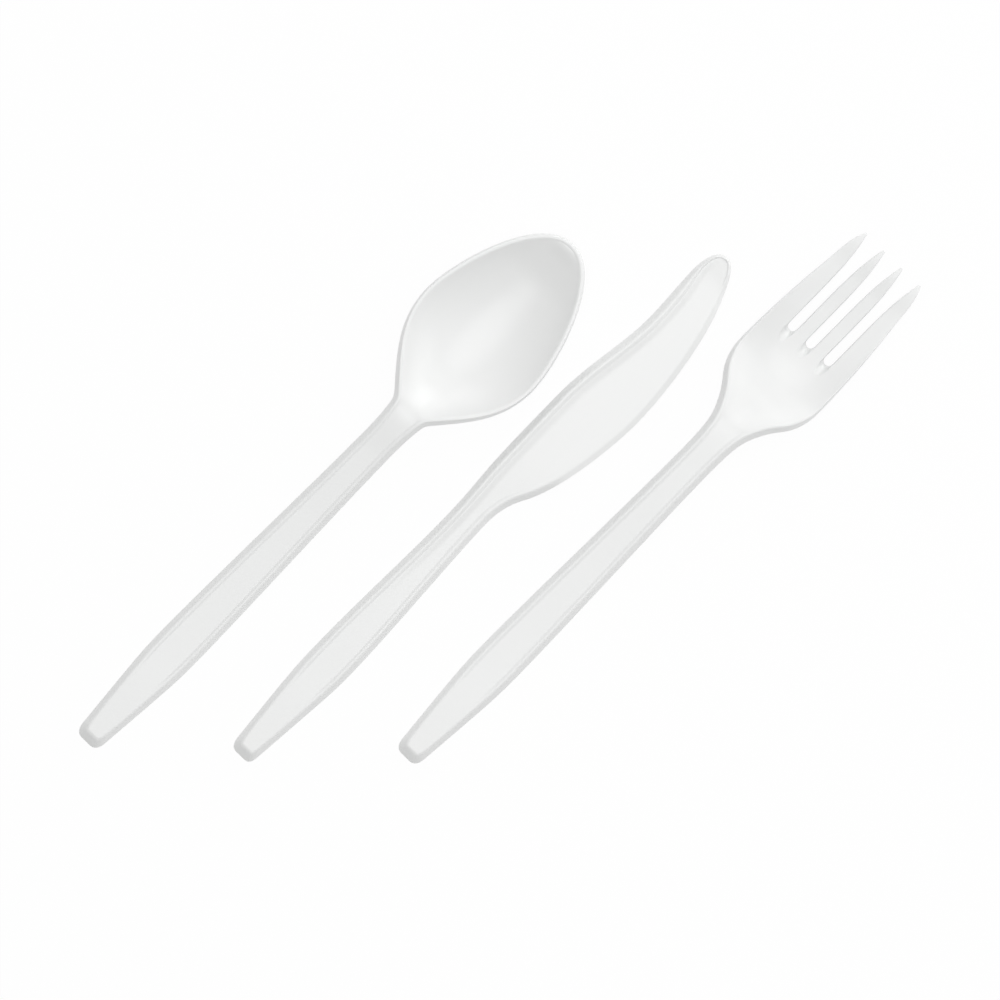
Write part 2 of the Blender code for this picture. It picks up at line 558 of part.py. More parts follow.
def knife_form() -> Form:
    """The knife: a skirt and a rib run down its spine, and a thin web tapers to a bevelled edge."""
    spine = handle_knots(KNIFE_CORNER_HALF_SPINE, KNIFE_GRIP_HALF_SPINE) + [
        Knot(SPINE_WAIST_AT, SPINE_WAIST_HALF, 0, before=GRIP_TO_SPINE_WAIST * 0.275,
             after=SPINE_WAIST_TO_RISE * 0.5),
        Knot(SPINE_RISE_AT, SPINE_RISE_HALF, 3, before=SPINE_WAIST_TO_RISE * 0.31,
             after=SPINE_RISE_LENGTH * 0.26),
        Knot(SPINE_HUMP_AT, SPINE_HUMP_HALF, 0, before=SPINE_RISE_LENGTH * 0.26,
             after=SPINE_HUMP_TO_DIP * 0.366),
        Knot(SPINE_DIP_AT, SPINE_DIP_HALF, 0, before=SPINE_HUMP_TO_DIP * 0.305,
             after=SPINE_DIP_TO_TIP * 0.27),
        Knot(SPINE_TIP_AT, SPINE_TIP_HALF, 0, before=SPINE_DIP_TO_TIP * 0.24,
             after=(KNIFE_LENGTH - SPINE_TIP_AT) * 0.31),
        Knot(KNIFE_LENGTH, -TIP_SIDE_SHIFT, -90, before=(SPINE_TIP_HALF + TIP_SIDE_SHIFT) * 0.88),
    ]
    edge = handle_knots(KNIFE_CORNER_HALF_EDGE, KNIFE_GRIP_HALF_EDGE) + [
        Knot(EDGE_WAIST_AT, EDGE_WAIST_HALF, 0, before=GRIP_TO_EDGE_WAIST * 0.196,
             after=EDGE_WAIST_TO_CHOIL * 0.4),
        Knot(CHOIL_AT, CHOIL_HALF, 31, before=EDGE_WAIST_TO_CHOIL * 0.3, after=CHOIL_TO_BELLY * 0.297),
        Knot(BELLY_AT, BELLY_HALF, 0, before=CHOIL_TO_BELLY * 0.188, after=BELLY_TO_POINT * 0.412),
        Knot(POINT_AT, POINT_HALF, -24, before=BELLY_TO_POINT * 0.175, after=POINT_TO_TIP * 0.34),
        Knot(KNIFE_LENGTH, TIP_SIDE_SHIFT, -90, before=(POINT_HALF - TIP_SIDE_SHIFT) * 0.49),
    ]
    blade_from, blade_full = EDGE_WAIST_AT, mix(CHOIL_AT, BELLY_AT, 0.35)
    back = smooth(
        (0.0, SKIRT_DEPTH_END), (GRIP_AT, SKIRT_DEPTH_GRIP), (CHOIL_AT, KNIFE_SPINE_DEPTH_NECK),
        (SPINE_HUMP_AT, mix(KNIFE_SPINE_DEPTH_NECK, KNIFE_SPINE_DEPTH_TIP, 0.3)),
        (KNIFE_LENGTH, KNIFE_SPINE_DEPTH_TIP))

    def blade(y: float) -> float:
        return ease(blade_from, blade_full, y)

    def rib(y: float) -> float:
        return ease(GRIP_AT, SPINE_RISE_AT, y) * (1.0 - ease(SPINE_TIP_AT, KNIFE_LENGTH, y))

    def tip(y: float) -> float:
        return ease(mix(SPINE_DIP_AT, SPINE_TIP_AT, 0.5), KNIFE_LENGTH, y)

    def crest(y: float, s: float) -> float:
        return back(y) - RIB_HEIGHT * rib(y) * s

    def depth(y: float, s: float) -> float:
        return min(crest(y, s), mix(crest(y, s), mix(back(y), BEVEL_DROP, blade(y)), s * blade(y)))

    def run(y: float, s: float) -> float:
        return mix(mix(SKIRT_RUN, mix(SPINE_RUN, BEVEL_RUN, s), blade(y)), TIP_RUN, tip(y))

    def land(y: float, s: float) -> float:
        return mix(BEAD_LAND * bead_share(y), EDGE_LAND, max(s * blade(y), tip(y)))

    def fall(y: float, s: float) -> float:
        side = mix(RIB_FALL, TIP_FALL, s * blade(y))
        return mix(mix(BEAD_FALL * bead_share(y), side, rib(y)), TIP_FALL, tip(y))

    def recess(y: float, s: float) -> float:
        return mix(handle_recess(y, s), mix(RIB_HEIGHT * 0.5, PANEL_RECESS * (1 - blade(y)), s), rib(y))

    def foot(y: float, s: float) -> float:
        return mix(mix(FOOT_LAND, EDGE_FOOT, s * blade(y)), TIP_FOOT, tip(y))

    def hollow(y: float, u: float, width: float) -> float:
        place = (u + 1) / 2
        straight = mix(RIB_HEIGHT * 0.5, RIB_HEIGHT, place)
        wanted = mix(RIB_HEIGHT * 0.5, RIB_HEIGHT, ease(0.0, SPINE_FILLET, place * width))
        return rib(y) * (wanted - straight)

    rounding = KNIFE_LENGTH - TIP_CAP - SPINE_TIP_AT
    rows = (handle_rows() + spread(GRIP_AT, EDGE_WAIST_AT, 7) + spread(EDGE_WAIST_AT, BELLY_AT, 13)
            + spread(BELLY_AT, SPINE_TIP_AT, 11)
            + [SPINE_TIP_AT + rounding * math.sin(math.pi / 2 * k / 6) for k in range(7)])
    return Form(
        "knife", spine, edge, rows, crest=crest, depth=depth, run=run,
        land=land, fall=fall, recess=recess, foot=foot,
        sheet=lambda y: mix(SHEET, WEB_SHEET, blade(y)), hollow=hollow)


def slot_outline(middle: float, half: float, scoop: float) -> list[tuple[float, float]]:
    """Plan of a slot: a nosed root, parallel sides, then sides that open as the tines taper."""
    root = HEEL_AT + SLOT_ROOT_PAST_HEEL
    taper_from = FORK_LENGTH - TINE_TAPER
    tine_half = TINE_PITCH / 2 - half
    side = []
    for k in range(SLOT_TAPER_STEPS + 1):
        share = k / SLOT_TAPER_STEPS
        out = TINE_PITCH / 2 - mix(tine_half, TINE_TIP_HALF, share ** TINE_TAPER_POWER)
        side.append((out, taper_from + TINE_TAPER * share))
    side.append((TINE_PITCH / 2 - TINE_TIP_HALF, FORK_LENGTH + TINE_PITCH))
    nose = []
    for k in range(SLOT_NOSE_STEPS + 1):
        turn = math.pi * k / SLOT_NOSE_STEPS
        nose.append((-half * math.cos(turn), root + half - math.sin(turn) * (half + scoop)))
    return [(middle - x, y) for x, y in reversed(side)] + [(middle + x, y) for x, y in nose] + [
        (middle + x, y) for x, y in side]


def slot_cutter(number: int) -> bpy.types.Object:
    """A cutter for one slot: drafted walls, and a root that curves back to a scoop on top."""
    middle = number * TINE_PITCH
    dish_lift = DISH_DEPTH * (middle / HEEL_HALF) ** 2
    levels = [(-HEEL_SHEET, SLOT_HALF - SLOT_DRAFT, 0.0)]
    for k in range(SCOOP_STEPS + 1):
        share = k / SCOOP_STEPS
        half = SLOT_HALF + mix(-SLOT_DRAFT, SLOT_DRAFT, share)
        levels.append((dish_lift + SCOOP_TOP * share, half, SLOT_SCOOP * share ** SCOOP_POWER))
    levels.append((SCOOP_TOP + TINE_RISE * 2, SLOT_HALF + SLOT_DRAFT, SLOT_SCOOP))
    mesh = bmesh.new()
    loops = [[mesh.verts.new((x, y, z)) for x, y in slot_outline(middle, half, scoop)]
             for z, half, scoop in levels]
    for low, high in zip(loops, loops[1:]):
        for n in range(len(low)):
            k = (n + 1) % len(low)
            mesh.faces.new((low[n], low[k], high[k], high[n]))
    mesh.faces.new(loops[0])
    mesh.faces.new(loops[-1])
    bmesh.ops.recalc_face_normals(mesh, faces=mesh.faces)
    data = bpy.data.meshes.new(f"slot_cutter_{number}")
    mesh.to_mesh(data)
    mesh.free()
    cutter = add_object(f"slot_cutter_{number}", data)
    cutter.hide_render = True
    cutter.display_type = "WIRE"
    return cutter


def cut_slots(fork: bpy.types.Object) -> None:
    """Cut the three slots between the four tines."""
    for number in (-1, 0, 1):
        cutter = slot_cutter(number)
        cutter.parent = fork
        cut = fork.modifiers.new(f"slot_{number}", "BOOLEAN")
        cut.operation = "DIFFERENCE"
        cut.solver = "EXACT"
        cut.object = cutter


def white_plastic(name: str) -> bpy.types.Material:
    """White moulded polystyrene, with a soft gloss."""
    material = bpy.data.materials.new(name)
    material.use_nodes = True
    shader = material.node_tree.nodes["Principled BSDF"]
    shader.inputs["Base Color"].default_value = (0.90, 0.90, 0.89, 1.0)
    shader.inputs["Metallic"].default_value = 0.0
    shader.inputs["Roughness"].default_value = 0.3
    return material


def lay_out(pieces: list[bpy.types.Object]) -> None:
    """Lay the pieces side by side, each down on its lowest point, with their middle at the origin."""
    setting = bpy.data.objects.new("setting", None)
    bpy.context.scene.collection.objects.link(setting)
    spoon, knife, fork = pieces
    knife.location = (KNIFE_ACROSS, KNIFE_ALONG, 0.0)
    knife.rotation_euler = (0.0, 0.0, KNIFE_TURN)
    fork.location = (FORK_ACROSS, FORK_ALONG, 0.0)
    for item in pieces:
        item.location.z = -min(v.co.z for v in item.data.vertices)
        item.parent = setting
    bpy.context.view_layer.update()
    corners = np.array([item.matrix_world @ v.co for item in pieces for v in item.data.vertices])
    low, high = corners.min(axis=0), corners.max(axis=0)
    setting.location = Vector((-(low[0] + high[0]) / 2, -(low[1] + high[1]) / 2, 0.0))


def main() -> None:
    """Build the three pieces and lay them out."""
    for item in list(bpy.data.objects):
        bpy.data.objects.remove(item, do_unlink=True)
    pieces = [Moulding(form()).build() for form in (spoon_form, knife_form, fork_form)]
    cut_slots(pieces[2])
    for item in pieces:
        item.data.materials.append(white_plastic(f"{item.name}_plastic"))
    lay_out(pieces)


main()
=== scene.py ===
"""The finished look of a white plastic cutlery set: a spoon, a knife and a fork on a pale table.

Each piece is one injection moulding. Its top sheet is a grid, shaped to the panel of the handle and
the bowl, blade or head. The border of the grid is extruded ring by ring: over the edge bead, down the
drafted skirt, across the foot and up inside to a second grid, which is the underside. A Subdivision
Surface modifier then gives the mould's small radii.
"""

import logging
import math
from abc import ABC, abstractmethod
from collections.abc import Callable, Iterable
from dataclasses import dataclass, field
from enum import Enum
from typing import ClassVar

import bmesh
import bpy
import numpy as np
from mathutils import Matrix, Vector


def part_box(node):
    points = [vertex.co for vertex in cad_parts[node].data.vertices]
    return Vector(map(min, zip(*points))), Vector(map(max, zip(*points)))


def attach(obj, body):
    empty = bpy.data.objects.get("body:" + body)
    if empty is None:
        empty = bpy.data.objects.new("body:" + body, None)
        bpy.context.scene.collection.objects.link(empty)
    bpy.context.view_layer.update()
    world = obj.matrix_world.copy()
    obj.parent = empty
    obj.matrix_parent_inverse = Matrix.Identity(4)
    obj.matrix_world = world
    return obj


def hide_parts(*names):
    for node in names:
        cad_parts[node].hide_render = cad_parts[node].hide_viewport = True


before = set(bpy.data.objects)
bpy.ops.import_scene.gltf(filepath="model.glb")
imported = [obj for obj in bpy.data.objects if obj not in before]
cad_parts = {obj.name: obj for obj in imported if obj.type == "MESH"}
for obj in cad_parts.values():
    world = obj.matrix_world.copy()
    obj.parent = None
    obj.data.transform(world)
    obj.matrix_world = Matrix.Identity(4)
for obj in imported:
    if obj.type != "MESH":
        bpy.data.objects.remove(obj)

LOG = logging.getLogger("cutlery")
MM = 0.001
TINY = 1e-12
WHITE = (1.0, 1.0, 1.0, 1.0)
Spot = tuple[float, float, float]
Pair = tuple[float, float]
Cell = tuple[int, int]
Section = tuple[Pair, ...]


def mix(low: float, high: float, share: float) -> float:
    """Give the value a share of the way from low to high."""
    return low + (high - low) * share


def ease(low: float, high: float, value: float) -> float:
    """Give a smooth step from 0 at low to 1 at high."""
    t = min(max((value - low) / (high - low), 0.0), 1.0)
    return t * t * (3.0 - 2.0 * t)


def spread(start: float, end: float, count: int) -> list[float]:
    """Give evenly spaced places from start up to, and without, end."""
    return [mix(start, end, k / count) for k in range(count)]


def closing(start: float, end: float, count: int) -> list[float]:
    """Give places from start to end, closer and closer together towards the end."""
    return [mix(start, end, math.sin(math.pi / 2 * k / count)) for k in range(count + 1)]


def smooth(*points: Pair) -> Callable[[float], float]:
    """Make a curve through points that never overshoots between them.

    Args:
        points: Places along the piece, each with its value.

    Returns:
        A function from a place to the curve's value there.
    """
    xs = [p[0] for p in points]
    ys = [p[1] for p in points]
    steps = [(ys[i + 1] - ys[i]) / (xs[i + 1] - xs[i]) for i in range(len(xs) - 1)]
    slopes = [0.0] * len(xs)
    for i in range(1, len(xs) - 1):
        if steps[i - 1] * steps[i] > 0.0:
            before, after = xs[i] - xs[i - 1], xs[i + 1] - xs[i]
            slopes[i] = 3.0 * (before + after) / (
                (2.0 * after + before) / steps[i - 1] + (after + 2.0 * before) / steps[i])

    def value(x: float) -> float:
        if x <= xs[0]:
            return ys[0]
        if x >= xs[-1]:
            return ys[-1]
        i = max(k for k in range(len(xs) - 1) if xs[k] <= x)
        span = xs[i + 1] - xs[i]
        t = (x - xs[i]) / span
        return ((1 + 2 * t) * (1 - t) ** 2 * ys[i] + t * (1 - t) ** 2 * span * slopes[i]
                + t * t * (3 - 2 * t) * ys[i + 1] + t * t * (t - 1) * span * slopes[i + 1])

    return value


@dataclass(frozen=True)
class Knot:
    """A point of an outline, with its heading in degrees from +Y and the pull on each side of it."""

    along: float
    out: float
    heading: float
    before: float = 0.0
    after: float = 0.0
    leaving: float | None = None


@dataclass
class Outline:
    """One side of a piece in plan: a Bezier chain through its knots."""

    knots: list[Knot]
    steps: int = 60
    points: np.ndarray = field(init=False)

    def __post_init__(self) -> None:
        """Trace the chain once."""
        points = [(self.knots[0].along, self.knots[0].out)]
        for a, b in zip(self.knots, self.knots[1:]):
            start, end = np.array((a.along, a.out)), np.array((b.along, b.out))
            turn_a = math.radians(a.heading if a.leaving is None else a.leaving)
            turn_b = math.radians(b.heading)
            pull_a = start + a.after * np.array((math.cos(turn_a), math.sin(turn_a)))
            pull_b = end - b.before * np.array((math.cos(turn_b), math.sin(turn_b)))
            for k in range(1, self.steps + 1):
                t = k / self.steps
                points.append((1 - t) ** 3 * start + 3 * (1 - t) ** 2 * t * pull_a
                              + 3 * (1 - t) * t * t * pull_b + t ** 3 * end)
        self.points = np.array(points)

    def out(self, along: float) -> float:
        """Give the distance out from the axis at a place along the piece."""
        return float(np.interp(along, self.points[:, 0], self.points[:, 1]))

    def beyond(self, along: float) -> list[Pair]:
        """Give the traced points past a place, as (along, out)."""
        return [tuple(p) for p in self.points if p[0] > along]


@dataclass(frozen=True)
class Edge:
    """The section of a moulding's border at one place: its skirt, bead and foot."""

    run: float
    depth: float
    land: float
    fall: float
    recess: float
    foot: float

    @property
    def width(self) -> float:
        """The whole border in plan, from the outer edge to the inner foot of the bead."""
        return SKIRT_TOP * self.run + self.land + self.fall


SKIRT_TOP = 1.3


@dataclass(frozen=True)
class Handle:
    """The handle end and the grip, which all three pieces have, and their walls."""

    end_flat_half: float = 1.5 * MM
    corner: float = 2.6 * MM
    corner_to_grip: float = 31.4 * MM
    sheet: float = 1.1 * MM
    foot: float = 0.9 * MM
    run: float = 1.15 * MM
    depth_end: float = 3.1 * MM
    depth_grip: float = 3.4 * MM
    depth_neck: float = 3.7 * MM
    land: float = 0.35 * MM
    fall: float = 0.45 * MM
    recess: float = 0.22 * MM
    recess_start: float = 16.0 * MM
    recess_full: float = 30.0 * MM
    end_stretch: float = 1.75
    end_lean: float = 9.0 * MM
    end_bead_share: float = 0.25
    corner_rows: int = 6
    end_rows: int = 5
    grip_rows: int = 13
    end_zone: float = 3.2
    pull_past_corner: float = 0.75
    pull_before_grip: float = 0.3
    pull_past_grip: float = 0.35

    @property
    def grip_at(self) -> float:
        """The widest place of the grip."""
        return self.corner + self.corner_to_grip

    def outline(self, corner_half: float, grip_half: float, *beyond: Knot) -> Outline:
        """Trace an outline from the handle end.

        Args:
            corner_half: Half the width at the end's corner.
            grip_half: Half the width at the widest place of the grip.
            beyond: The knots past the grip.
        """
        bend, reach = self.corner / 2, self.corner_to_grip
        return Outline([
            Knot(0.0, self.end_flat_half, 90, after=bend),
            Knot(self.corner, corner_half, 5, before=bend, after=reach * self.pull_past_corner),
            Knot(self.grip_at, grip_half, 0, before=reach * self.pull_before_grip,
                 after=reach * self.pull_past_grip), *beyond])

    def rows(self, *stretches: tuple[float, int]) -> list[float]:
        """Give rows close together round the end's corners, then wider apart.

        Args:
            stretches: Where each stretch past the grip ends, and its count of rows.
        """
        start, count = self.corner, self.corner_rows
        rows = [start * (1 - math.cos(math.pi / 2 * k / count)) for k in range(count)]
        own = (start * self.end_zone, self.end_rows), (self.grip_at, self.grip_rows)
        for end, count in (*own, *stretches):
            rows += spread(start, end, count)
            start = end
        return rows

    def heights(self, *beyond: Pair) -> Callable[[float], float]:
        """Draw a curve of heights from the handle's, through points past the grip."""
        return smooth((0.0, self.depth_end), (self.grip_at, self.depth_grip), *beyond)

    def panel_recess(self, y: float) -> float:
        """Give how far the panel lies below the bead."""
        return self.recess * ease(self.recess_start, self.recess_full, y)

    def bead_share(self, y: float) -> float:
        """Give how much of the bead's width is there, little round the narrow end, then all."""
        return mix(self.end_bead_share, 1.0, ease(self.corner, self.recess_start, y))


HANDLE = Handle()


def deselect() -> None:
    """Leave no object selected, so that an operator acts on its own piece alone."""
    if bpy.context.mode != "OBJECT":
        bpy.ops.object.mode_set(mode="OBJECT")
    bpy.ops.object.select_all(action="DESELECT")


def only(item: bpy.types.Object) -> None:
    """Make one object the active and the only selected one."""
    deselect()
    item.select_set(True)
    bpy.context.view_layer.objects.active = item


def added(name: str) -> bpy.types.Object:
    """Give the object that was just added, under its name."""
    item = bpy.context.object
    item.name = name
    return item


class Blank:
    """A grid under work in edit mode, whose points remember the cell that they came from."""

    def __init__(self, name: str, rows: int, columns: int) -> None:
        """Add the grid and number its points.

        Args:
            name: Name of the piece.
            rows: Faces along the piece.
            columns: Faces across it.
        """
        deselect()
        bpy.ops.mesh.primitive_grid_add(x_subdivisions=columns, y_subdivisions=rows, size=1.0)
        self.item = added(name)
        self.columns = columns
        bpy.ops.object.mode_set(mode="EDIT")
        bpy.ops.mesh.select_mode(type="VERT")
        mesh = self.mesh()
        layer = mesh.verts.layers.int.new("cell")
        for n, vert in enumerate(mesh.verts):
            vert[layer] = n
        self.update()

    def mesh(self) -> bmesh.types.BMesh:
        """Give the mesh that is being edited."""
        return bmesh.from_edit_mesh(self.item.data)

    def update(self) -> None:
        """Show the operators what was selected or moved."""
        bmesh.update_edit_mesh(self.item.data)

    def number(self, cell: Cell) -> int:
        """Give the number of a cell's point."""
        return cell[0] * (self.columns + 1) + cell[1]

    def spots(self, grid: np.ndarray) -> dict[int, Spot]:
        """Give every cell's spot on a whole sheet."""
        return {self.number(cell): tuple(grid[cell]) for cell in np.ndindex(*grid.shape[:2])}

    def remove_faces(self, wanted: Callable[[Cell, Cell], bool]) -> None:
        """Delete the faces whose lowest and highest corner cells are wanted.

        Args:
            wanted: Says of two corner cells whether the face between them goes.
        """
        bpy.ops.mesh.select_all(action="DESELECT")
        mesh = self.mesh()
        layer = mesh.verts.layers.int["cell"]
        for face in mesh.faces:
            numbers = [v[layer] for v in face.verts]
            low, high = (divmod(f(numbers), self.columns + 1) for f in (min, max))
            face.select_set(wanted(low, high))
        self.update()
        bpy.ops.mesh.delete(type="FACE")

    def place_selected(self, spots: dict[int, Spot]) -> None:
        """Move each selected point to its cell's spot."""
        mesh = self.mesh()
        layer = mesh.verts.layers.int["cell"]
        for vert in mesh.verts:
            if vert.select and not vert.hide:
                vert.co = spots[vert[layer]]
        self.update()

    def extrude_ring(self, spots: dict[int, Spot]) -> None:
        """Extrude the selected border once and settle the new ring."""
        bpy.ops.mesh.extrude_edges_move()
        self.place_selected(spots)

    def add_underside(self, spots: dict[int, Spot]) -> None:
        """Copy the sheet, turn the copy over and lower it, then select the first sheet's border."""
        bpy.ops.mesh.select_all(action="SELECT")
        bpy.ops.mesh.duplicate()
        bpy.ops.mesh.flip_normals()
        self.place_selected(spots)
        bpy.ops.mesh.hide(unselected=False)
        bpy.ops.mesh.select_all(action="SELECT")
        bpy.ops.mesh.region_to_loop()

    def close(self, merge: float) -> None:
        """Join the last ring to the underside and leave edit mode."""
        bpy.ops.mesh.reveal(select=False)
        bpy.ops.mesh.select_mode(type="VERT")
        bpy.ops.mesh.select_all(action="SELECT")
        bpy.ops.mesh.remove_doubles(threshold=merge)
        bpy.ops.mesh.normals_make_consistent(inside=False)
        bpy.ops.object.mode_set(mode="OBJECT")
        self.item.data.attributes.remove(self.item.data.attributes["cell"])


@dataclass
class Rim:
    """The closed loop round a sheet: up the left, round the tip, down the right, across the end."""

    cells: list[Cell] = field(default_factory=list)
    places: list[Pair] = field(default_factory=list)
    sides: list[float] = field(default_factory=list)
    drafts: list[Pair | None] = field(default_factory=list)

    def add(self, cell: Cell, place: Pair, side: float,
            draft: Pair | None = None) -> None:
        """Add the next point.

        Args:
            cell: Row and column of the sheet's point there.
            place: Where the outer edge is in plan.
            side: From 0 on the left to 1 on the right.
            draft: On an edge that is cut straight through the sheet, how far its foot lies from its
                top, across and along. None where there is a skirt.
        """
        self.cells.append(cell)
        self.places.append(place)
        self.sides.append(side)
        self.drafts.append(draft)


@dataclass
class Moulding(ABC):
    """A thin-walled moulding, drawn along +Y from its handle end and then laid in its place."""

    name: ClassVar[str]
    node: ClassVar[str]
    levels: ClassVar[int] = 2
    across: int = 16
    place: Pair = (0.0, 0.0)
    turn: float = 0.0
    tip_zone: float = 2.5
    cut_radius: float = 0.25 * MM
    scoop_power: float = 2.2
    steepest: float = 1.6
    merge: float = 0.001 * MM
    left: Outline = field(init=False)
    right: Outline = field(init=False)
    rows: list[float] = field(init=False)

    # A skirt from its top down, and then its foot from outside to inside, as (share of the run or of
    # the foot, share of the depth). The section of a cut is (share of the radius, share of the way
    # down), and what joins a foot to the underside is (share across, share up).
    SKIRT_PROFILE: ClassVar[Section] = ((1.0, 0.965), (0.8, 0.84), (0.42, 0.46), (0.05, 0.07), (0.0, 0.0))
    FOOT_PROFILE: ClassVar[Section] = ((0.14, 0.0), (0.86, 0.0), (1.0, 0.05))
    INSIDE_PROFILE: ClassVar[Section] = ((0.40, 0.50), (0.74, 0.90))
    CUT_PROFILE: ClassVar[Section] = (
        (0.72, 0.0), (0.44, 0.02), (0.22, 0.07), (0.06, 0.16), (0.0, 0.28), (0.0, 0.42),
        (0.0, 0.56), (0.0, 0.70), (0.06, 0.84), (0.22, 0.93), (0.44, 0.98), (0.72, 1.0))

    @abstractmethod
    def edge(self, y: float, side: float) -> Edge:
        """Give the border's section at a place along the piece, from side 0, left, to 1, right."""

    @abstractmethod
    def crest(self, y: float, side: float) -> float:
        """Give the height of the bead's crest."""

    @abstractmethod
    def hollow(self, y: float, u: float, width: float) -> float:
        """Give how far the sheet lies below a straight line across, at u from -1 to 1."""

    @abstractmethod
    def sheet(self, y: float) -> float:
        """Give the wall's thickness."""

    def shares(self) -> list[float]:
        """Give the columns' places across from 0 to 1, closer together towards the sides."""
        return [(math.sin(math.pi / 2 * (2 * j / self.across - 1)) + 1) / 2 for j in range(self.across + 1)]

    def removed(self, low: Cell, high: Cell) -> bool:
        """Say whether the face between two corner cells is cut away."""
        return False

    def rim(self) -> Rim:
        """Lay the loop round the sheet."""
        rim, last = Rim(), len(self.rows) - 1
        for i, y in enumerate(self.rows):
            rim.add((i, 0), (-self.left.out(y), y), 0.0)
        self.round_tip(rim, last)
        for i in range(last, -1, -1):
            rim.add((i, self.across), (self.right.out(self.rows[i]), self.rows[i]), 1.0)
        self.cross_end(rim)
        return rim

    def round_tip(self, rim: Rim, last: int) -> None:
        """Take the loop round the tip, evenly along the outlines past the last row.

        Args:
            rim: The loop so far, up to the last row's left.
            last: The last row.
        """
        y = self.rows[-1]
        arc = np.array([
            (-self.left.out(y), y), *((-out, at) for at, out in self.left.beyond(y)),
            *((out, at) for at, out in reversed(self.right.beyond(y))), (self.right.out(y), y)])
        run = np.concatenate(([0.0], np.cumsum(np.hypot(*np.diff(arc, axis=0).T))))
        for j, share in list(enumerate(self.shares()))[1:-1]:
            spot = share * run[-1]
            rim.add((last, j), (np.interp(spot, run, arc[:, 0]), np.interp(spot, run, arc[:, 1])), share)

    def cross_end(self, rim: Rim) -> None:
        """Close the loop across the handle end, from right to left."""
        left, right = -self.left.points[0, 1], self.right.points[0, 1]
        for j, share in list(enumerate(self.shares()))[-2:0:-1]:
            rim.add((0, j), (mix(left, right, share), 0.0), share)

    def inward(self, rim: Rim) -> np.ndarray:
        """Give the way into the piece at each point of the loop.

        Near the handle end it leans along the piece, because the end skirt slopes more than the side
        skirts do. Across the end it turns evenly from one corner to the other.
        """
        places = np.array(rim.places)
        tangent = np.roll(places, -1, axis=0) - np.roll(places, 1, axis=0)
        tangent /= np.linalg.norm(tangent, axis=1)[:, None]
        ways = np.stack((tangent[:, 1], -tangent[:, 0]), axis=1)
        lean = HANDLE.end_stretch * np.clip(1.0 - places[:, 1] / HANDLE.end_lean, 0.0, 1.0)
        near = lean > 0.0
        ways[near, 1] = np.maximum(lean, ways[:, 1])[near]
        end = len(places) - (self.across - 1)
        ways[end:, 0] = mix(ways[0, 0], ways[end - 1, 0], np.array(rim.sides[end:]))
        return ways

    def model(self) -> bpy.types.Object:
        """Model the piece and lay it in its place."""
        shares, rim = np.array(self.shares()), self.rim()
        ways = self.inward(rim)
        blank = Blank(self.name, len(self.rows) - 1, self.across)
        inner = self.inner_loop(rim, ways)
        top = self.top_grid(rim, inner, shares)
        under = self.under_grid(top, rim)
        blank.remove_faces(self.removed)
        bpy.ops.mesh.select_all(action="SELECT")
        blank.place_selected(blank.spots(top))
        blank.add_underside(blank.spots(under))
        for ring in self.rings(rim, ways, top, under):
            blank.extrude_ring({blank.number(cell): spot for cell, spot in zip(rim.cells, ring)})
        blank.close(self.merge)
        self.finish(blank.item)
        return blank.item

    def inner_loop(self, rim: Rim, ways: np.ndarray) -> np.ndarray:
        """Give the border of the sheet, at the inner foot of the bead or a cut edge's rounding."""
        points = []
        for (x, y), side, draft, way in zip(rim.places, rim.sides, rim.drafts, ways):
            inset = self.edge(y, side).width if draft is None else self.cut_inset(y)
            at_x, at_y = x + way[0] * inset, y + way[1] * inset
            points.append((at_x, at_y, self.crest(at_y, side) - self.edge(at_y, side).recess))
        return np.array(points)

    def cut_inset(self, y: float) -> float:
        """Give the rounding of a plain cut edge."""
        return self.cut_radius

    def top_grid(self, rim: Rim, inner: np.ndarray, shares: np.ndarray) -> np.ndarray:
        """Fill the sheet's border with rows from side to side."""
        count = len(self.rows)
        spot = dict(zip(rim.cells, inner))
        points = self.straight_rows(spot, shares)
        left, right = points[:, 0].copy(), points[:, -1].copy()
        cap = np.array([spot[(count - 1, j)] for j in range(self.across + 1)])
        bulge = cap - points[-1]
        zone = rim.places[count + self.across // 2][1] - self.tip_zone * abs(right[-1, 0])
        for i in range(count):
            points[i] += ease(zone, left[-1, 1], left[i, 1]) ** 2 * bulge
        self.sink(points, left, right)
        self.settle(points, spot)
        return points

    def settle(self, points: np.ndarray, spot: dict[Cell, np.ndarray]) -> None:
        """Set the sheet's border."""
        for cell, place in spot.items():
            points[cell] = place

    def straight_rows(self, spot: dict[Cell, np.ndarray], shares: np.ndarray) -> np.ndarray:
        """Lay straight rows between the two sides of the sheet's border."""
        left, right = (np.array([spot[(i, j)] for i in range(len(self.rows))]) for j in (0, self.across))
        return left[:, None] + shares[None, :, None] * (right - left)[:, None]

    def sink(self, points: np.ndarray, left: np.ndarray, right: np.ndarray) -> None:
        """Lower the inside of the sheet from the straight lines across it."""
        for i, j in np.ndindex(*points.shape[:2]):
            x, y, z = points[i, j]
            width = right[i, 0] - left[i, 0]
            u = 2 * (x - left[i, 0]) / width - 1
            points[i, j, 2] = z - self.hollow(y, min(max(u, -1.0), 1.0), width)

    def under_grid(self, top: np.ndarray, rim: Rim) -> np.ndarray:
        """Lower the sheet by its thickness, measured square to it."""
        along, across = np.gradient(top, axis=0), np.gradient(top, axis=1)
        normal = np.cross(across, along)
        steep = np.linalg.norm(normal, axis=2) / np.maximum(np.abs(normal[:, :, 2]), TINY)
        under = top.copy()
        under[:, :, 2] -= np.vectorize(self.sheet)(top[:, :, 1]) * np.clip(steep, 1.0, self.steepest)
        return under

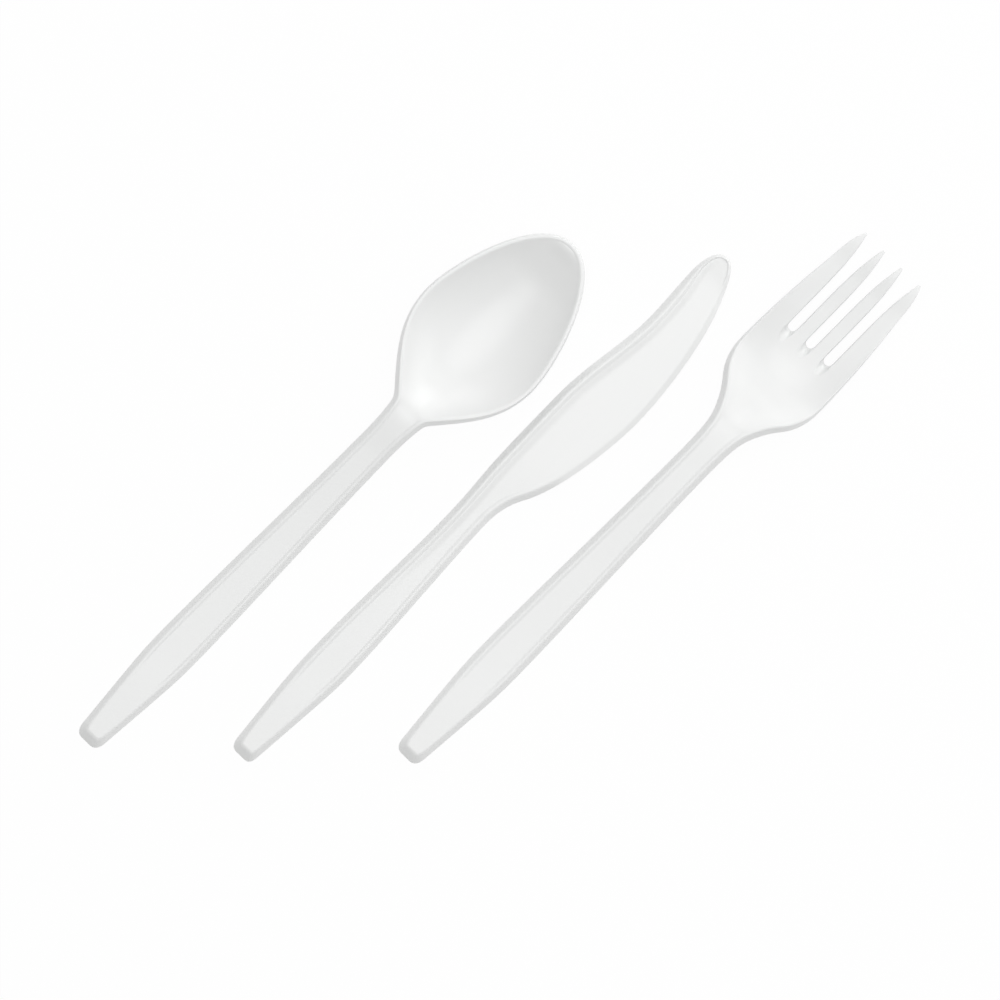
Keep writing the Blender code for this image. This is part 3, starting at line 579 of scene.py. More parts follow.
    def rings(self, rim: Rim, ways: np.ndarray, top: np.ndarray, under: np.ndarray) -> list[list[Spot]]:
        """Give the rings round the border, from the bead out and down and back in to the underside."""
        columns = []
        for cell, place, side, draft, way in zip(rim.cells, rim.places, rim.sides, rim.drafts, ways):
            if draft is None:
                columns.append(self.skirt_column(place, side, way, under[cell]))
            else:
                columns.append(self.cut_column(place, way, top[cell], under[cell], draft))
        return [list(ring) for ring in zip(*columns)]

    def skirt_column(self, place: Pair, side: float, way: np.ndarray,
                     low: np.ndarray) -> list[Spot]:
        """Give the border's points at one place where it has a skirt, from the bead round to inside."""
        (x, y), column = place, []
        edge = self.edge(y, side)
        top = SKIRT_TOP * edge.run
        skirt = [(top + edge.land, 1.0), (top, 1.0)]
        skirt += [(across * edge.run, up) for across, up in self.SKIRT_PROFILE]
        foot = [(across * edge.foot, up) for across, up in self.FOOT_PROFILE]
        for n, (inset, up) in enumerate(skirt + foot):
            at = y + way[1] * inset
            base = self.crest(at if n < len(skirt) else y, side) - edge.depth
            column.append((x + way[0] * inset, at, base + up * edge.depth))
        inside = np.array(column[-1])
        for share, rise in self.INSIDE_PROFILE:
            step = (low - inside) * np.array((share, share, rise))
            column.append(tuple(inside + step))
        column.append(tuple(low))
        return column

    def cut_column(self, place: Pair, way: np.ndarray, high: np.ndarray,
                   low: np.ndarray, draft: Pair) -> list[Spot]:
        """Give the border's points at one place where it is cut through, from top to foot."""
        (x, y), column = place, []
        radius = self.cut_inset(y)
        for inset, share in self.CUT_PROFILE:
            hollowed = 1.0 - (1.0 - share) ** self.scoop_power
            column.append((x + way[0] * inset * radius + draft[0] * share,
                           y + way[1] * inset * radius + draft[1] * hollowed,
                           mix(high[2], low[2], share)))
        column.append(tuple(low))
        return column

    def finish(self, item: bpy.types.Object) -> None:
        """Round the mesh, turn and move it to its place, and hand it to the frame."""
        only(item)
        rounding = item.modifiers.new("rounding", "SUBSURF")
        rounding.levels = rounding.render_levels = self.levels
        bpy.ops.object.modifier_apply(modifier=rounding.name)
        bpy.ops.object.shade_smooth()
        item.rotation_euler.z = self.turn
        item.location = (*self.place, -min(vert.co.z for vert in item.data.vertices))
        bpy.ops.object.transform_apply(location=True, rotation=True, scale=True)
        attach(item, "root")
        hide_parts(self.node)
        LOG.info("%s: %d faces", item.name, len(item.data.polygons))


@dataclass
class RoundHandled(Moulding):
    """What the spoon and the fork share: a handle the same on both sides, and smooth curves along it.

    The shares in rise say how much of the crest's rise to the neck is done on the way to the waist,
    and at the waist. Those in dips say how deep the head's hollow is at its places.
    """

    rise: ClassVar[Pair]
    dips: ClassVar[tuple[float, ...]]
    grip_half: float = 5.6 * MM
    corner_half: float = 3.6 * MM
    waist_at: float = 95.0 * MM
    waist_half: float = 4.4 * MM
    way_to_waist: float = 0.45
    waist_rows: int = 22
    tip_at: float = 165.0 * MM

    def outline(self, *head: Knot) -> None:
        """Trace the outline for both sides."""
        self.left = self.right = HANDLE.outline(self.corner_half, self.grip_half, *head)

    def crests(self, neck: float, *head: Pair) -> None:
        """Draw the crest's curve.

        Args:
            neck: The crest's height at the neck.
            head: The curve's points from the neck on.
        """
        grip, way = HANDLE.depth_grip, mix(HANDLE.grip_at, self.waist_at, self.way_to_waist)
        on_way, at_waist = (mix(grip, neck, share) for share in self.rise)
        self.crest_line = HANDLE.heights((way, on_way), (self.waist_at, at_waist), *head)

    def hollows(self, start: float, places: Iterable[float], end: float, depth: float) -> None:
        """Draw the curve of the head's hollow.

        Args:
            start: Where the hollow starts.
            places: Where its depth is one of the shares.
            end: Where it ends.
            depth: The whole depth.
        """
        inside = ((y, depth * share) for y, share in zip(places, self.dips))
        self.dip_line = smooth((start, 0.0), *inside, (end, 0.0))

    def panel_recess(self, y: float) -> float:
        """Give how far the sheet lies below the bead."""
        return HANDLE.panel_recess(y)

    def edge(self, y: float, side: float) -> Edge:
        """Give the skirt's section on the handle, and the lip's or the plain edge's round the head."""
        bead = HANDLE.bead_share(y)
        depth = min(self.depth_line(y), self.crest_line(y))
        return Edge(self.run_line(y), depth, self.land_line(y) * bead,
                    self.fall_line(y) * bead, self.panel_recess(y), self.foot_line(y))

    def crest(self, y: float, side: float) -> float:
        """Give the height of the bead's crest and of the head's rim."""
        return self.crest_line(y)


@dataclass
class Spoon(RoundHandled):
    """The spoon: the handle rises to the neck, spills into the bowl, and its skirts become the lip."""

    name: ClassVar[str] = "spoon_moulding"
    node: ClassVar[str] = "spoon"
    rise: ClassVar[Pair] = (0.18, 0.68)
    dips: ClassVar[tuple[float, ...]] = (0.05, 0.62, 0.90, 1.0, 0.80, 0.30)
    neck_at: float = 109.4 * MM
    neck_half: float = 5.1 * MM
    widest_at: float = 133.4 * MM
    bowl_half: float = 17.55 * MM
    bowl_depth: float = 7.4 * MM
    lip: float = 1.3 * MM
    lip_run: float = 0.35 * MM
    rim_land: float = 0.55 * MM
    rim_fall: float = 0.30 * MM
    crown: float = 2.4 * MM
    deepest_past_widest: float = 4.0 * MM
    side_power: float = 2.3
    neck_lift: float = 1.1 * MM
    side_lift: float = 0.2 * MM

    def __post_init__(self) -> None:
        """Lay out the outline, the rows and the curves along the spoon."""
        waist, neck, widest, tip = self.waist_at, self.neck_at, self.widest_at, self.tip_at
        self.outline(
            Knot(waist, self.waist_half, 0, before=10.5 * MM, after=2.0 * MM),
            Knot(neck, self.neck_half, 10, before=6.0 * MM, after=9.2 * MM, leaving=40),
            Knot(widest, self.bowl_half, 0, before=10.9 * MM, after=8.3 * MM),
            Knot(tip, 0.0, -90, before=11.1 * MM))
        self.rows = (HANDLE.rows((waist, self.waist_rows), (neck, 9), (widest, 18))
                     + closing(widest, tip - self.lip, 22))
        rim = self.bowl_depth + HANDLE.sheet + HANDLE.recess
        high, crown = rim + self.neck_lift, neck - self.crown
        self.crests(high, (crown, mix(HANDLE.depth_grip, high, 0.96)), (neck, high),
                    (widest, rim + self.side_lift), (tip, rim))
        self.depth_line = HANDLE.heights(
            (waist, HANDLE.depth_neck), (neck, HANDLE.depth_neck * 0.9), (widest, self.lip))
        self.run_line = smooth((waist, HANDLE.run), (neck, HANDLE.run * 0.8), (widest, self.lip_run))
        self.land_line = smooth((neck, HANDLE.land), (widest, self.rim_land))
        self.fall_line = smooth((waist, HANDLE.fall), (widest, self.rim_fall))
        self.foot_line = smooth((waist, HANDLE.foot), (widest, self.rim_land))
        deepest, third = widest + self.deepest_past_widest, (widest - neck) / 3
        places = (neck, neck + third, neck + 2 * third, deepest, mix(deepest, tip, 0.5),
                  mix(deepest, tip, 0.8))
        self.hollows(crown, places, tip - self.lip, self.bowl_depth)

    def hollow(self, y: float, u: float, width: float) -> float:
        """Give the bowl's depth below its rim."""
        return self.dip_line(y) * (1 - abs(u) ** self.side_power)

    def sheet(self, y: float) -> float:
        """Give the even wall."""
        return HANDLE.sheet


@dataclass
class Knife(Moulding):
    """The knife: a skirt and a rib run down its spine, and a thin web tapers to a bevelled edge."""

    name: ClassVar[str] = "knife_moulding"
    node: ClassVar[str] = "knife"
    corner_half_spine: float = 3.5 * MM
    corner_half_edge: float = 3.25 * MM
    grip_half_spine: float = 5.35 * MM
    grip_half_edge: float = 5.5 * MM
    spine_waist_at: float = 74.0 * MM
    spine_waist_half: float = 4.3 * MM
    spine_rise_at: float = 90.0 * MM
    spine_rise_half: float = 5.0 * MM
    hump_at: float = 113.0 * MM
    hump_half: float = 5.2 * MM
    dip_at: float = 142.5 * MM
    dip_half: float = 2.2 * MM
    spine_tip_at: float = 157.0 * MM
    spine_tip_half: float = 2.7 * MM
    edge_waist_at: float = 80.0 * MM
    edge_waist_half: float = 3.85 * MM
    choil_at: float = 90.0 * MM
    choil_half: float = 6.4 * MM
    belly_at: float = 122.0 * MM
    belly_half: float = 13.1 * MM
    point_at: float = 156.2 * MM
    point_half: float = 7.55 * MM
    tip_at: float = 165.0 * MM
    tip_shift: float = 1.4 * MM
    depth_neck: float = 4.0 * MM
    depth_tip: float = 2.2 * MM
    spine_run: float = 1.3 * MM
    spine_fillet: float = 1.8 * MM
    rib_height: float = 0.9 * MM
    rib_fall: float = 0.68 * MM
    web: float = 1.0 * MM
    blade_full: float = 0.35
    bevel_run: float = 1.4 * MM
    bevel_drop: float = 0.55 * MM
    edge_land: float = 0.1 * MM
    edge_foot: float = 0.2 * MM
    tip_run: float = 0.45 * MM
    tip_fall: float = 0.20 * MM
    tip_foot: float = 0.3 * MM
    tip_cap: float = 0.6 * MM

    def __post_init__(self) -> None:
        """Lay out both outlines, the rows and the spine's height."""
        self.left = HANDLE.outline(
            self.corner_half_spine, self.grip_half_spine,
            Knot(self.spine_waist_at, self.spine_waist_half, 0, before=11.0 * MM, after=8.0 * MM),
            Knot(self.spine_rise_at, self.spine_rise_half, 3, before=5.0 * MM, after=6.0 * MM),
            Knot(self.hump_at, self.hump_half, 0, before=6.0 * MM, after=10.8 * MM),
            Knot(self.dip_at, self.dip_half, 0, before=9.0 * MM, after=3.9 * MM),
            Knot(self.spine_tip_at, self.spine_tip_half, 0, before=3.5 * MM, after=2.5 * MM),
            Knot(self.tip_at, -self.tip_shift, -90, before=3.6 * MM))
        self.right = HANDLE.outline(
            self.corner_half_edge, self.grip_half_edge,
            Knot(self.edge_waist_at, self.edge_waist_half, 0, before=9.0 * MM, after=4.0 * MM),
            Knot(self.choil_at, self.choil_half, 31, before=3.0 * MM, after=9.5 * MM),
            Knot(self.belly_at, self.belly_half, 0, before=6.0 * MM, after=14.1 * MM),
            Knot(self.point_at, self.point_half, -24, before=6.0 * MM, after=3.0 * MM),
            Knot(self.tip_at, self.tip_shift, -90, before=3.0 * MM))
        self.rows = (
            HANDLE.rows((self.edge_waist_at, 18), (self.belly_at, 26), (self.spine_tip_at, 22))
            + closing(self.spine_tip_at, self.tip_at - self.tip_cap, 10))
        self.back_line = HANDLE.heights(
            (self.choil_at, self.depth_neck), (self.hump_at, mix(self.depth_neck, self.depth_tip, 0.3)),
            (self.tip_at, self.depth_tip))

    def blade(self, y: float) -> float:
        """Give how far the handle has become the blade, from 0 to 1."""
        return ease(self.edge_waist_at, mix(self.choil_at, self.belly_at, self.blade_full), y)

    def rib(self, y: float) -> float:
        """Give how much of the spine's rib is there, from 0 to 1."""
        fade_in = ease(HANDLE.grip_at, self.spine_rise_at, y)
        return fade_in * (1.0 - ease(self.spine_tip_at, self.tip_at, y))

    def tip(self, y: float) -> float:
        """Give how far the border has narrowed to that of the tip, from 0 to 1."""
        return ease(mix(self.dip_at, self.spine_tip_at, 0.5), self.tip_at, y)

    def crest(self, y: float, side: float) -> float:
        """Give the height of the spine's crest, falling to the web's on the edge side."""
        return self.back_line(y) - self.rib_height * self.rib(y) * side

    def edge(self, y: float, side: float) -> Edge:
        """Give the skirt's section along the spine and the bevel's along the edge."""
        blade, rib, tip = self.blade(y), self.rib(y), self.tip(y)
        crest = self.crest(y, side)
        edge_depth = mix(self.back_line(y), self.bevel_drop, blade)
        bead = HANDLE.bead_share(y)
        run = mix(HANDLE.run, mix(self.spine_run, self.bevel_run, side), blade)
        fall = mix(HANDLE.fall * bead, mix(self.rib_fall, self.tip_fall, side * blade), rib)
        web_recess = mix(self.rib_height / 2, HANDLE.recess * (1 - blade), side)
        return Edge(
            run=mix(run, self.tip_run, tip),
            depth=min(crest, mix(crest, edge_depth, side * blade)),
            land=mix(HANDLE.land * bead, self.edge_land, max(side * blade, tip)),
            fall=mix(fall, self.tip_fall, tip),
            recess=mix(HANDLE.panel_recess(y), web_recess, rib),
            foot=mix(mix(HANDLE.foot, self.edge_foot, side * blade), self.tip_foot, tip))

    def hollow(self, y: float, u: float, width: float) -> float:
        """Give the fillet beside the spine's rib."""
        share = (u + 1) / 2
        half = self.rib_height / 2
        straight = mix(half, self.rib_height, share)
        wanted = mix(half, self.rib_height, ease(0.0, self.spine_fillet, share * width))
        return self.rib(y) * (wanted - straight)

    def sheet(self, y: float) -> float:
        """Give the wall of the handle, then the web of the blade."""
        return mix(HANDLE.sheet, self.web, self.blade(y))


TINES = 4
SLOTS = TINES - 1


@dataclass
class Fork(RoundHandled):
    """The fork: a dished head that rests on its heel, with three slots between four rising tines."""

    name: ClassVar[str] = "fork_moulding"
    node: ClassVar[str] = "fork"
    rise: ClassVar[Pair] = (0.26, 0.82)
    dips: ClassVar[tuple[float, ...]] = (0.10, 0.62, 1.0, 1.15, 1.0, 0.55)
    levels: ClassVar[int] = 1
    across: int = 40
    tine_columns: int = 4
    slot_columns: int = 8
    neck_at: float = 110.0 * MM
    neck_half: float = 5.5 * MM
    shoulder_at: float = 117.0 * MM
    shoulder_half: float = 9.5 * MM
    heel_at: float = 127.0 * MM
    heel_half: float = 12.87 * MM
    taper_at: float = 153.4 * MM
    taper_half: float = 11.25 * MM
    head_runs: tuple[float, float, float] = (0.45 * MM, 0.12 * MM, 0.05 * MM)
    head_lands: tuple[float, float, float] = (0.20 * MM, 0.06 * MM, 0.03 * MM)
    head_falls: tuple[float, float, float] = (0.35 * MM, 0.12 * MM, 0.05 * MM)
    head_feet: tuple[float, float, float] = (0.50 * MM, 0.20 * MM, 0.08 * MM)
    heel_sheet: float = 1.9 * MM
    tip_sheet: float = 0.9 * MM
    dish_depth: float = 2.2 * MM
    neck_lift: float = 3.7 * MM
    neck_crown: float = 2.0 * MM
    tine_rise: float = 5.2 * MM
    pitch: float = 5.9 * MM
    tine_tip_half: float = 0.3 * MM
    tine_taper: float = 20.0 * MM
    taper_power: float = 3.3
    slot_half: float = 1.24 * MM
    slot_draft: float = 0.08 * MM
    root_past_heel: float = 9.1 * MM
    cut_share: float = 0.4
    scoop: float = 3.4 * MM
    bow_rows_back: int = 6
    bow_reach: float = 1.55
    bow_growth: float = 0.1
    bow_power: float = 1.5

    def __post_init__(self) -> None:
        """Lay out the outline, the rows and the curves along the fork.

        The border's runs, lands, falls and feet are those at the heel, at the taper and at the tip.
        """
        waist, neck, shoulder = self.waist_at, self.neck_at, self.shoulder_at
        heel, taper, tip = self.heel_at, self.taper_at, self.tip_at
        self.outline(
            Knot(waist, self.waist_half, 0, before=10.5 * MM, after=4.3 * MM),
            Knot(neck, self.neck_half, 22, before=3.5 * MM, after=2.2 * MM),
            Knot(shoulder, self.shoulder_half, 41, before=3.0 * MM, after=3.6 * MM),
            Knot(heel, self.heel_half, 0, before=4.0 * MM, after=8.0 * MM),
            Knot(taper, self.taper_half, -7, before=8.0 * MM, after=4.0 * MM),
            Knot(tip, SLOTS / 2 * self.pitch + self.tine_tip_half, -28, before=4.0 * MM))
        self.root_at = heel + self.root_past_heel + self.slot_half
        before_root = HANDLE.rows((waist, self.waist_rows), (neck, 10), (heel, 16), (self.root_at, 6))
        self.root_row = len(before_root)
        self.rows = before_root + spread(self.root_at, tip, 20) + [tip]
        thick = self.heel_sheet
        low, end = thick + HANDLE.recess + self.dish_depth, thick + self.tine_rise
        high, crown = low + self.neck_lift, neck - self.neck_crown
        lowest = heel + (heel - shoulder) * 0.4
        self.crests(
            high, (crown, high), (shoulder, mix(low, high, 0.80)),
            (mix(shoulder, heel, 0.5), mix(low, high, 0.45)), (heel, mix(low, high, 0.10)),
            (lowest, low), (mix(lowest, tip, 0.35), mix(low, end, 0.14)),
            (mix(lowest, tip, 0.7), mix(low, end, 0.50)), (tip, end))
        self.depth_line = HANDLE.heights(
            (waist, HANDLE.depth_neck), (neck, HANDLE.depth_neck), (heel, thick * 1.1),
            (tip, self.tip_sheet))
        head = (heel, taper, tip)
        self.run_line = smooth((waist, HANDLE.run), (shoulder, HANDLE.run), *zip(head, self.head_runs))
        self.land_line = smooth((neck, HANDLE.land), *zip(head, self.head_lands))
        self.fall_line = smooth((waist, HANDLE.fall), *zip(head, self.head_falls))
        self.foot_line = smooth((waist, HANDLE.foot), *zip(head, self.head_feet))
        self.recess_line = smooth(
            (HANDLE.recess_start, 0.0), (HANDLE.recess_full, HANDLE.recess), (heel, HANDLE.recess),
            (taper, 0.0))
        self.sheet_line = smooth(
            (waist, HANDLE.sheet), (heel, thick), (taper, thick * 0.9), (tip, self.tip_sheet))
        places = (neck, mix(neck, shoulder, 0.5), shoulder, mix(shoulder, heel, 0.4), lowest,
                  mix(lowest, tip, 0.35))
        self.hollows(crown, places, tip, self.dish_depth)

    def panel_recess(self, y: float) -> float:
        """Give how far the sheet lies below the bead, up to where the edge is plain."""
        return self.recess_line(y)

    def hollow(self, y: float, u: float, width: float) -> float:
        """Give the head's dish."""
        return self.dip_line(y) * (1 - u * u)

    def sheet(self, y: float) -> float:
        """Give the wall, thickest at the heel."""
        return self.sheet_line(y)

    def slot_middle(self, slot: int) -> float:
        """Give the middle of a slot, numbered from the left."""
        return (slot - 1) * self.pitch

    def tine_sides(self, tine: int, half: float, out: float) -> Pair:
        """Give a tine's two sides across, from half the head's width and half a slot's."""
        low = -half if tine == 0 else self.slot_middle(tine - 1) + out
        high = half if tine == SLOTS else self.slot_middle(tine) - out
        return low, high

    def slot_out(self, y: float, level: float) -> float:
        """Give half a slot's width, which opens as the tines taper.

        Args:
            y: Place along the fork.
            level: 1 at the top of the sheet, -1 at its foot.
        """
        share = max(0.0, (y - self.tip_at + self.tine_taper) / self.tine_taper)
        tine = self.pitch / 2 - self.slot_half - level * self.slot_draft
        return self.pitch / 2 - mix(tine, self.tine_tip_half, share ** self.taper_power)

    def slot_start(self, slot: int) -> int:
        """Give the column where a slot's left edge is."""
        return self.tine_columns + slot * (self.tine_columns + self.slot_columns)

    def removed(self, low: Cell, high: Cell) -> bool:
        """Say whether a face lies in a slot."""
        starts = [self.slot_start(slot) for slot in range(SLOTS)]
        inside = any(start <= low[1] and high[1] <= start + self.slot_columns for start in starts)
        return inside and low[0] >= self.root_row

    def cut_inset(self, y: float) -> float:
        """Give the rounding of a slot's edge, less at the narrow tips."""
        return min(self.cut_radius, self.cut_share * (self.pitch / 2 - self.slot_out(y, 1)))

    def shares(self) -> list[float]:
        """Give the columns' places across, in line with the tines and the slots."""
        half, out = self.left.out(self.root_at), self.slot_half + self.slot_draft
        places = []
        for tine in range(TINES):
            places += spread(*self.tine_sides(tine, half, out), self.tine_columns)
            if tine < SLOTS:
                turns = [math.pi * k / self.slot_columns for k in range(self.slot_columns)]
                places += [self.slot_middle(tine) - out * math.cos(turn) for turn in turns]
        return [(x + half) / (2 * half) for x in [*places, half]]

    def nose(self, step: int, level: float) -> Pair:
        """Give a point of a slot's rounded root, as (across, along) from the slot's middle.

        Args:
            step: Count of columns from the slot's left edge.
            level: 1 at the top of the sheet, where the scoop starts, and -1 at its foot.
        """
        turn, out = math.pi * step / self.slot_columns, self.slot_half + level * self.slot_draft
        scoop = self.scoop * (level + 1) / 2
        root = self.root_at - self.slot_draft * (1 - level)
        return -out * math.cos(turn), root - math.sin(turn) * (out + scoop)

    def round_tip(self, rim: Rim, last: int) -> None:
        """Take the loop over the tines' tips, down and up each slot between them."""
        half, out = self.left.out(self.tip_at), self.slot_out(self.tip_at, 1)
        for tine in range(TINES):
            start = self.slot_start(tine) - self.tine_columns
            low, high = self.tine_sides(tine, half, out)
            for k in range(1, self.tine_columns):
                across = mix(low, high, k / self.tine_columns)
                rim.add((last, start + k), (across, self.tip_at), (tine + 0.5) / TINES, (0.0, 0.0))
            if tine < SLOTS:
                self.round_slot(rim, tine, last)

    def round_slot(self, rim: Rim, slot: int, last: int) -> None:
        """Take the loop down one side of a slot, round its root and up the other side."""
        middle, start, side = self.slot_middle(slot), self.slot_start(slot), (slot + 1) / TINES
        for i in range(last, self.root_row - 1, -1):
            self.add_slot_side(rim, (i, start), middle, -1, side)
        for k in range(1, self.slot_columns):
            (x, y), (foot_x, foot_y) = self.nose(k, 1), self.nose(k, -1)
            rim.add((self.root_row, start + k), (middle + x, y), side, (foot_x - x, foot_y - y))
        for i in range(self.root_row, last + 1):
            self.add_slot_side(rim, (i, start + self.slot_columns), middle, 1, side)

    def add_slot_side(self, rim: Rim, cell: Cell, middle: float, way: int, side: float) -> None:
        """Add a point of a slot's straight side, to the left of its middle or to the right."""
        y = self.rows[cell[0]]
        high, low = self.slot_out(y, 1), self.slot_out(y, -1)
        rim.add(cell, (middle + way * high, y), side, (way * (low - high), 0.0))

    def top_grid(self, rim: Rim, inner: np.ndarray, shares: np.ndarray) -> np.ndarray:
        """Fill the head with rows that bow round the slots' roots and columns that follow the tines."""
        spot = dict(zip(rim.cells, inner))
        points = self.straight_rows(spot, shares)
        left, right = points[:, 0].copy(), points[:, -1].copy()
        points[0] = end = np.array([spot[(0, j)] for j in range(self.across + 1)])
        self.bow_rows(points)
        self.follow_tines(points, spot)
        for i, j in np.ndindex(*points.shape[:2]):
            x, y, _ = points[i, j]
            edge_x, edge_z = (np.interp(y, left[:, 1], left[:, k]) for k in (0, 2))
            u = min(max(x / abs(edge_x), -1.0), 1.0)
            points[i, j, 2] = edge_z - self.hollow(y, u, 2 * abs(edge_x))
        points[:, 0], points[:, -1], points[0] = left, right, end
        return points

    def bow_rows(self, points: np.ndarray) -> None:
        """Bend the rows short of the slots down round the roots."""
        out = self.slot_half + self.slot_draft
        for back in range(1, self.bow_rows_back):
            row = points[self.root_row - back]
            for slot in range(SLOTS):
                reach = out * self.bow_reach * (1 + self.bow_growth * back)
                near = np.clip(1 - ((row[:, 0] - self.slot_middle(slot)) / reach) ** 2, 0.0, None) ** 2
                row[:, 1] -= (out + self.scoop) * self.bow(back) * near

    def bow(self, back: int) -> float:
        """Give how much of a root's depth the row so many rows before it bends down."""
        return (1 - back / self.bow_rows_back) ** self.bow_power

    def follow_tines(self, points: np.ndarray, spot: dict[Cell, np.ndarray]) -> None:
        """Set the columns of each tine evenly between its two sides, and the slots' own border."""
        for i in range(self.root_row, len(self.rows)):
            for tine in range(TINES):
                start = self.slot_start(tine) - self.tine_columns
                sides = spot[(i, start)], spot[(i, start + self.tine_columns)]
                for k in range(self.tine_columns + 1):
                    points[i, start + k] = mix(*sides, k / self.tine_columns)
        self.settle(points, spot)

    def under_grid(self, top: np.ndarray, rim: Rim) -> np.ndarray:
        """Lower the sheet by its thickness and draw it out to the feet of the slots' walls."""
        under = super().under_grid(top, rim)
        levels = under[:, :, 1:].copy()
        for (row, column), draft in zip(rim.cells, rim.drafts):
            if draft is None:
                continue
            under[row, column, 0] += draft[0]
            for back in range(self.bow_rows_back if draft[1] else 0):
                spot = under[row - back, column]
                spot[1] += draft[1] * self.bow(back)
                spot[2] = np.interp(spot[1], levels[:row + 1, column, 0], levels[:row + 1, column, 1])
        return under


class MathOp(Enum):
    """The Math node's operations that expressions use."""

    ADD = "ADD"
    SUBTRACT = "SUBTRACT"
    MULTIPLY = "MULTIPLY"


class Value:
    """A shader number that Python's operators combine."""

    def __init__(self, shader: "Shader", socket: bpy.types.NodeSocket) -> None:
        """Wrap an output socket.

        Args:
            shader: The shader whose nodes it belongs to.
            socket: The output to read.
        """
        self.shader = shader
        self.socket = socket

    def _with(self, op: MathOp, first: "Value | float", second: "Value | float") -> "Value":
        """Add the Math node of an operation on two operands."""
        return self.shader.node("ShaderNodeMath", {"operation": op.value}, {0: first, 1: second})["Value"]

    def __add__(self, other: "Value | float") -> "Value":
        """Add."""
        return self._with(MathOp.ADD, self, other)

    def __radd__(self, other: float) -> "Value":
        """Add to a number."""
        return self._with(MathOp.ADD, other, self)

    def __sub__(self, other: "Value | float") -> "Value":
        """Subtract."""
        return self._with(MathOp.SUBTRACT, self, other)

    def __rsub__(self, other: float) -> "Value":
        """Subtract from a number."""
        return self._with(MathOp.SUBTRACT, other, self)

    def __mul__(self, other: "Value | float") -> "Value":
        """Multiply."""
        return self._with(MathOp.MULTIPLY, self, other)

    def __rmul__(self, other: float) -> "Value":
        """Multiply a number."""
        return self._with(MathOp.MULTIPLY, other, self)


class Outputs:
    """The outputs of one node, by name."""

    def __init__(self, shader: "Shader", node: bpy.types.Node) -> None:
        """Keep the node whose outputs are read."""
        self.shader = shader
        self.made = node

    def __getitem__(self, name: str) -> Value:
        """Give an output as a value."""
        return Value(self.shader, self.made.outputs[name])


class Shader:
    """The nodes of one material, or of the world."""

    def __init__(self, owner: bpy.types.Material | bpy.types.World) -> None:
        """Switch the nodes on, and find the surface and the output that they start with.

        Args:
            owner: The new material or world.
        """
        owner.use_nodes = True
        self.owner = owner
        self.tree = owner.node_tree
        self.output = next(node for node in self.tree.nodes if "Surface" in node.inputs)
        self.surface = self.output.inputs["Surface"].links[0].from_node

    def node(self, kind: str, settings: dict[str, object], inputs: dict[str | int, object]) -> Outputs:
        """Add any node.

        Args:
            kind: The node's type.
            settings: The node's own settings, which are set first.
            inputs: A value or a link for each named or numbered socket.

        Returns:
            The node's outputs.
        """
        made = self.tree.nodes.new(kind)
        for key, value in settings.items():
            setattr(made, key, value)
        for key, value in inputs.items():
            self.feed(made.inputs[key], value)
        return Outputs(self, made)

    def feed(self, socket: bpy.types.NodeSocket, value: object) -> None:
        """Link a value to a socket, or set the socket to a constant."""
        if isinstance(value, Value):
            self.tree.links.new(value.socket, socket)
        else:
            socket.default_value = value

    def dress(self, inputs: dict[str, object]) -> None:
        """Give the surface its values and links by name."""
        for name, value in inputs.items():
            self.feed(self.surface.inputs[name], value)

    def noise(self, coords: Value, scale: float, detail: float) -> Value:
        """Add a noise of a scale and detail, from 0 to 1."""
        made = self.node("ShaderNodeTexNoise", {}, {"Vector": coords, "Scale": scale, "Detail": detail})
        return made["Fac"]

    def show_white(self, kind: str, share: float) -> None:
        """Show white to the eye, also in reflections and through glass, but light the set as before.

        Args:
            kind: The type of the node that shines white.
            share: How much of the white is mixed in.
        """
        path = self.node("ShaderNodeLightPath", {}, {})
        seen = path["Is Camera Ray"] + path["Is Glossy Ray"] + path["Is Transmission Ray"]
        white = self.node(kind, {}, {"Color": WHITE, "Strength": 1.0})
        both = self.node("ShaderNodeMixShader", {}, {
            0: seen * share, 1: Value(self, self.surface.outputs[0]), 2: Value(self, white.made.outputs[0])})
        self.feed(self.output.inputs["Surface"], both["Shader"])


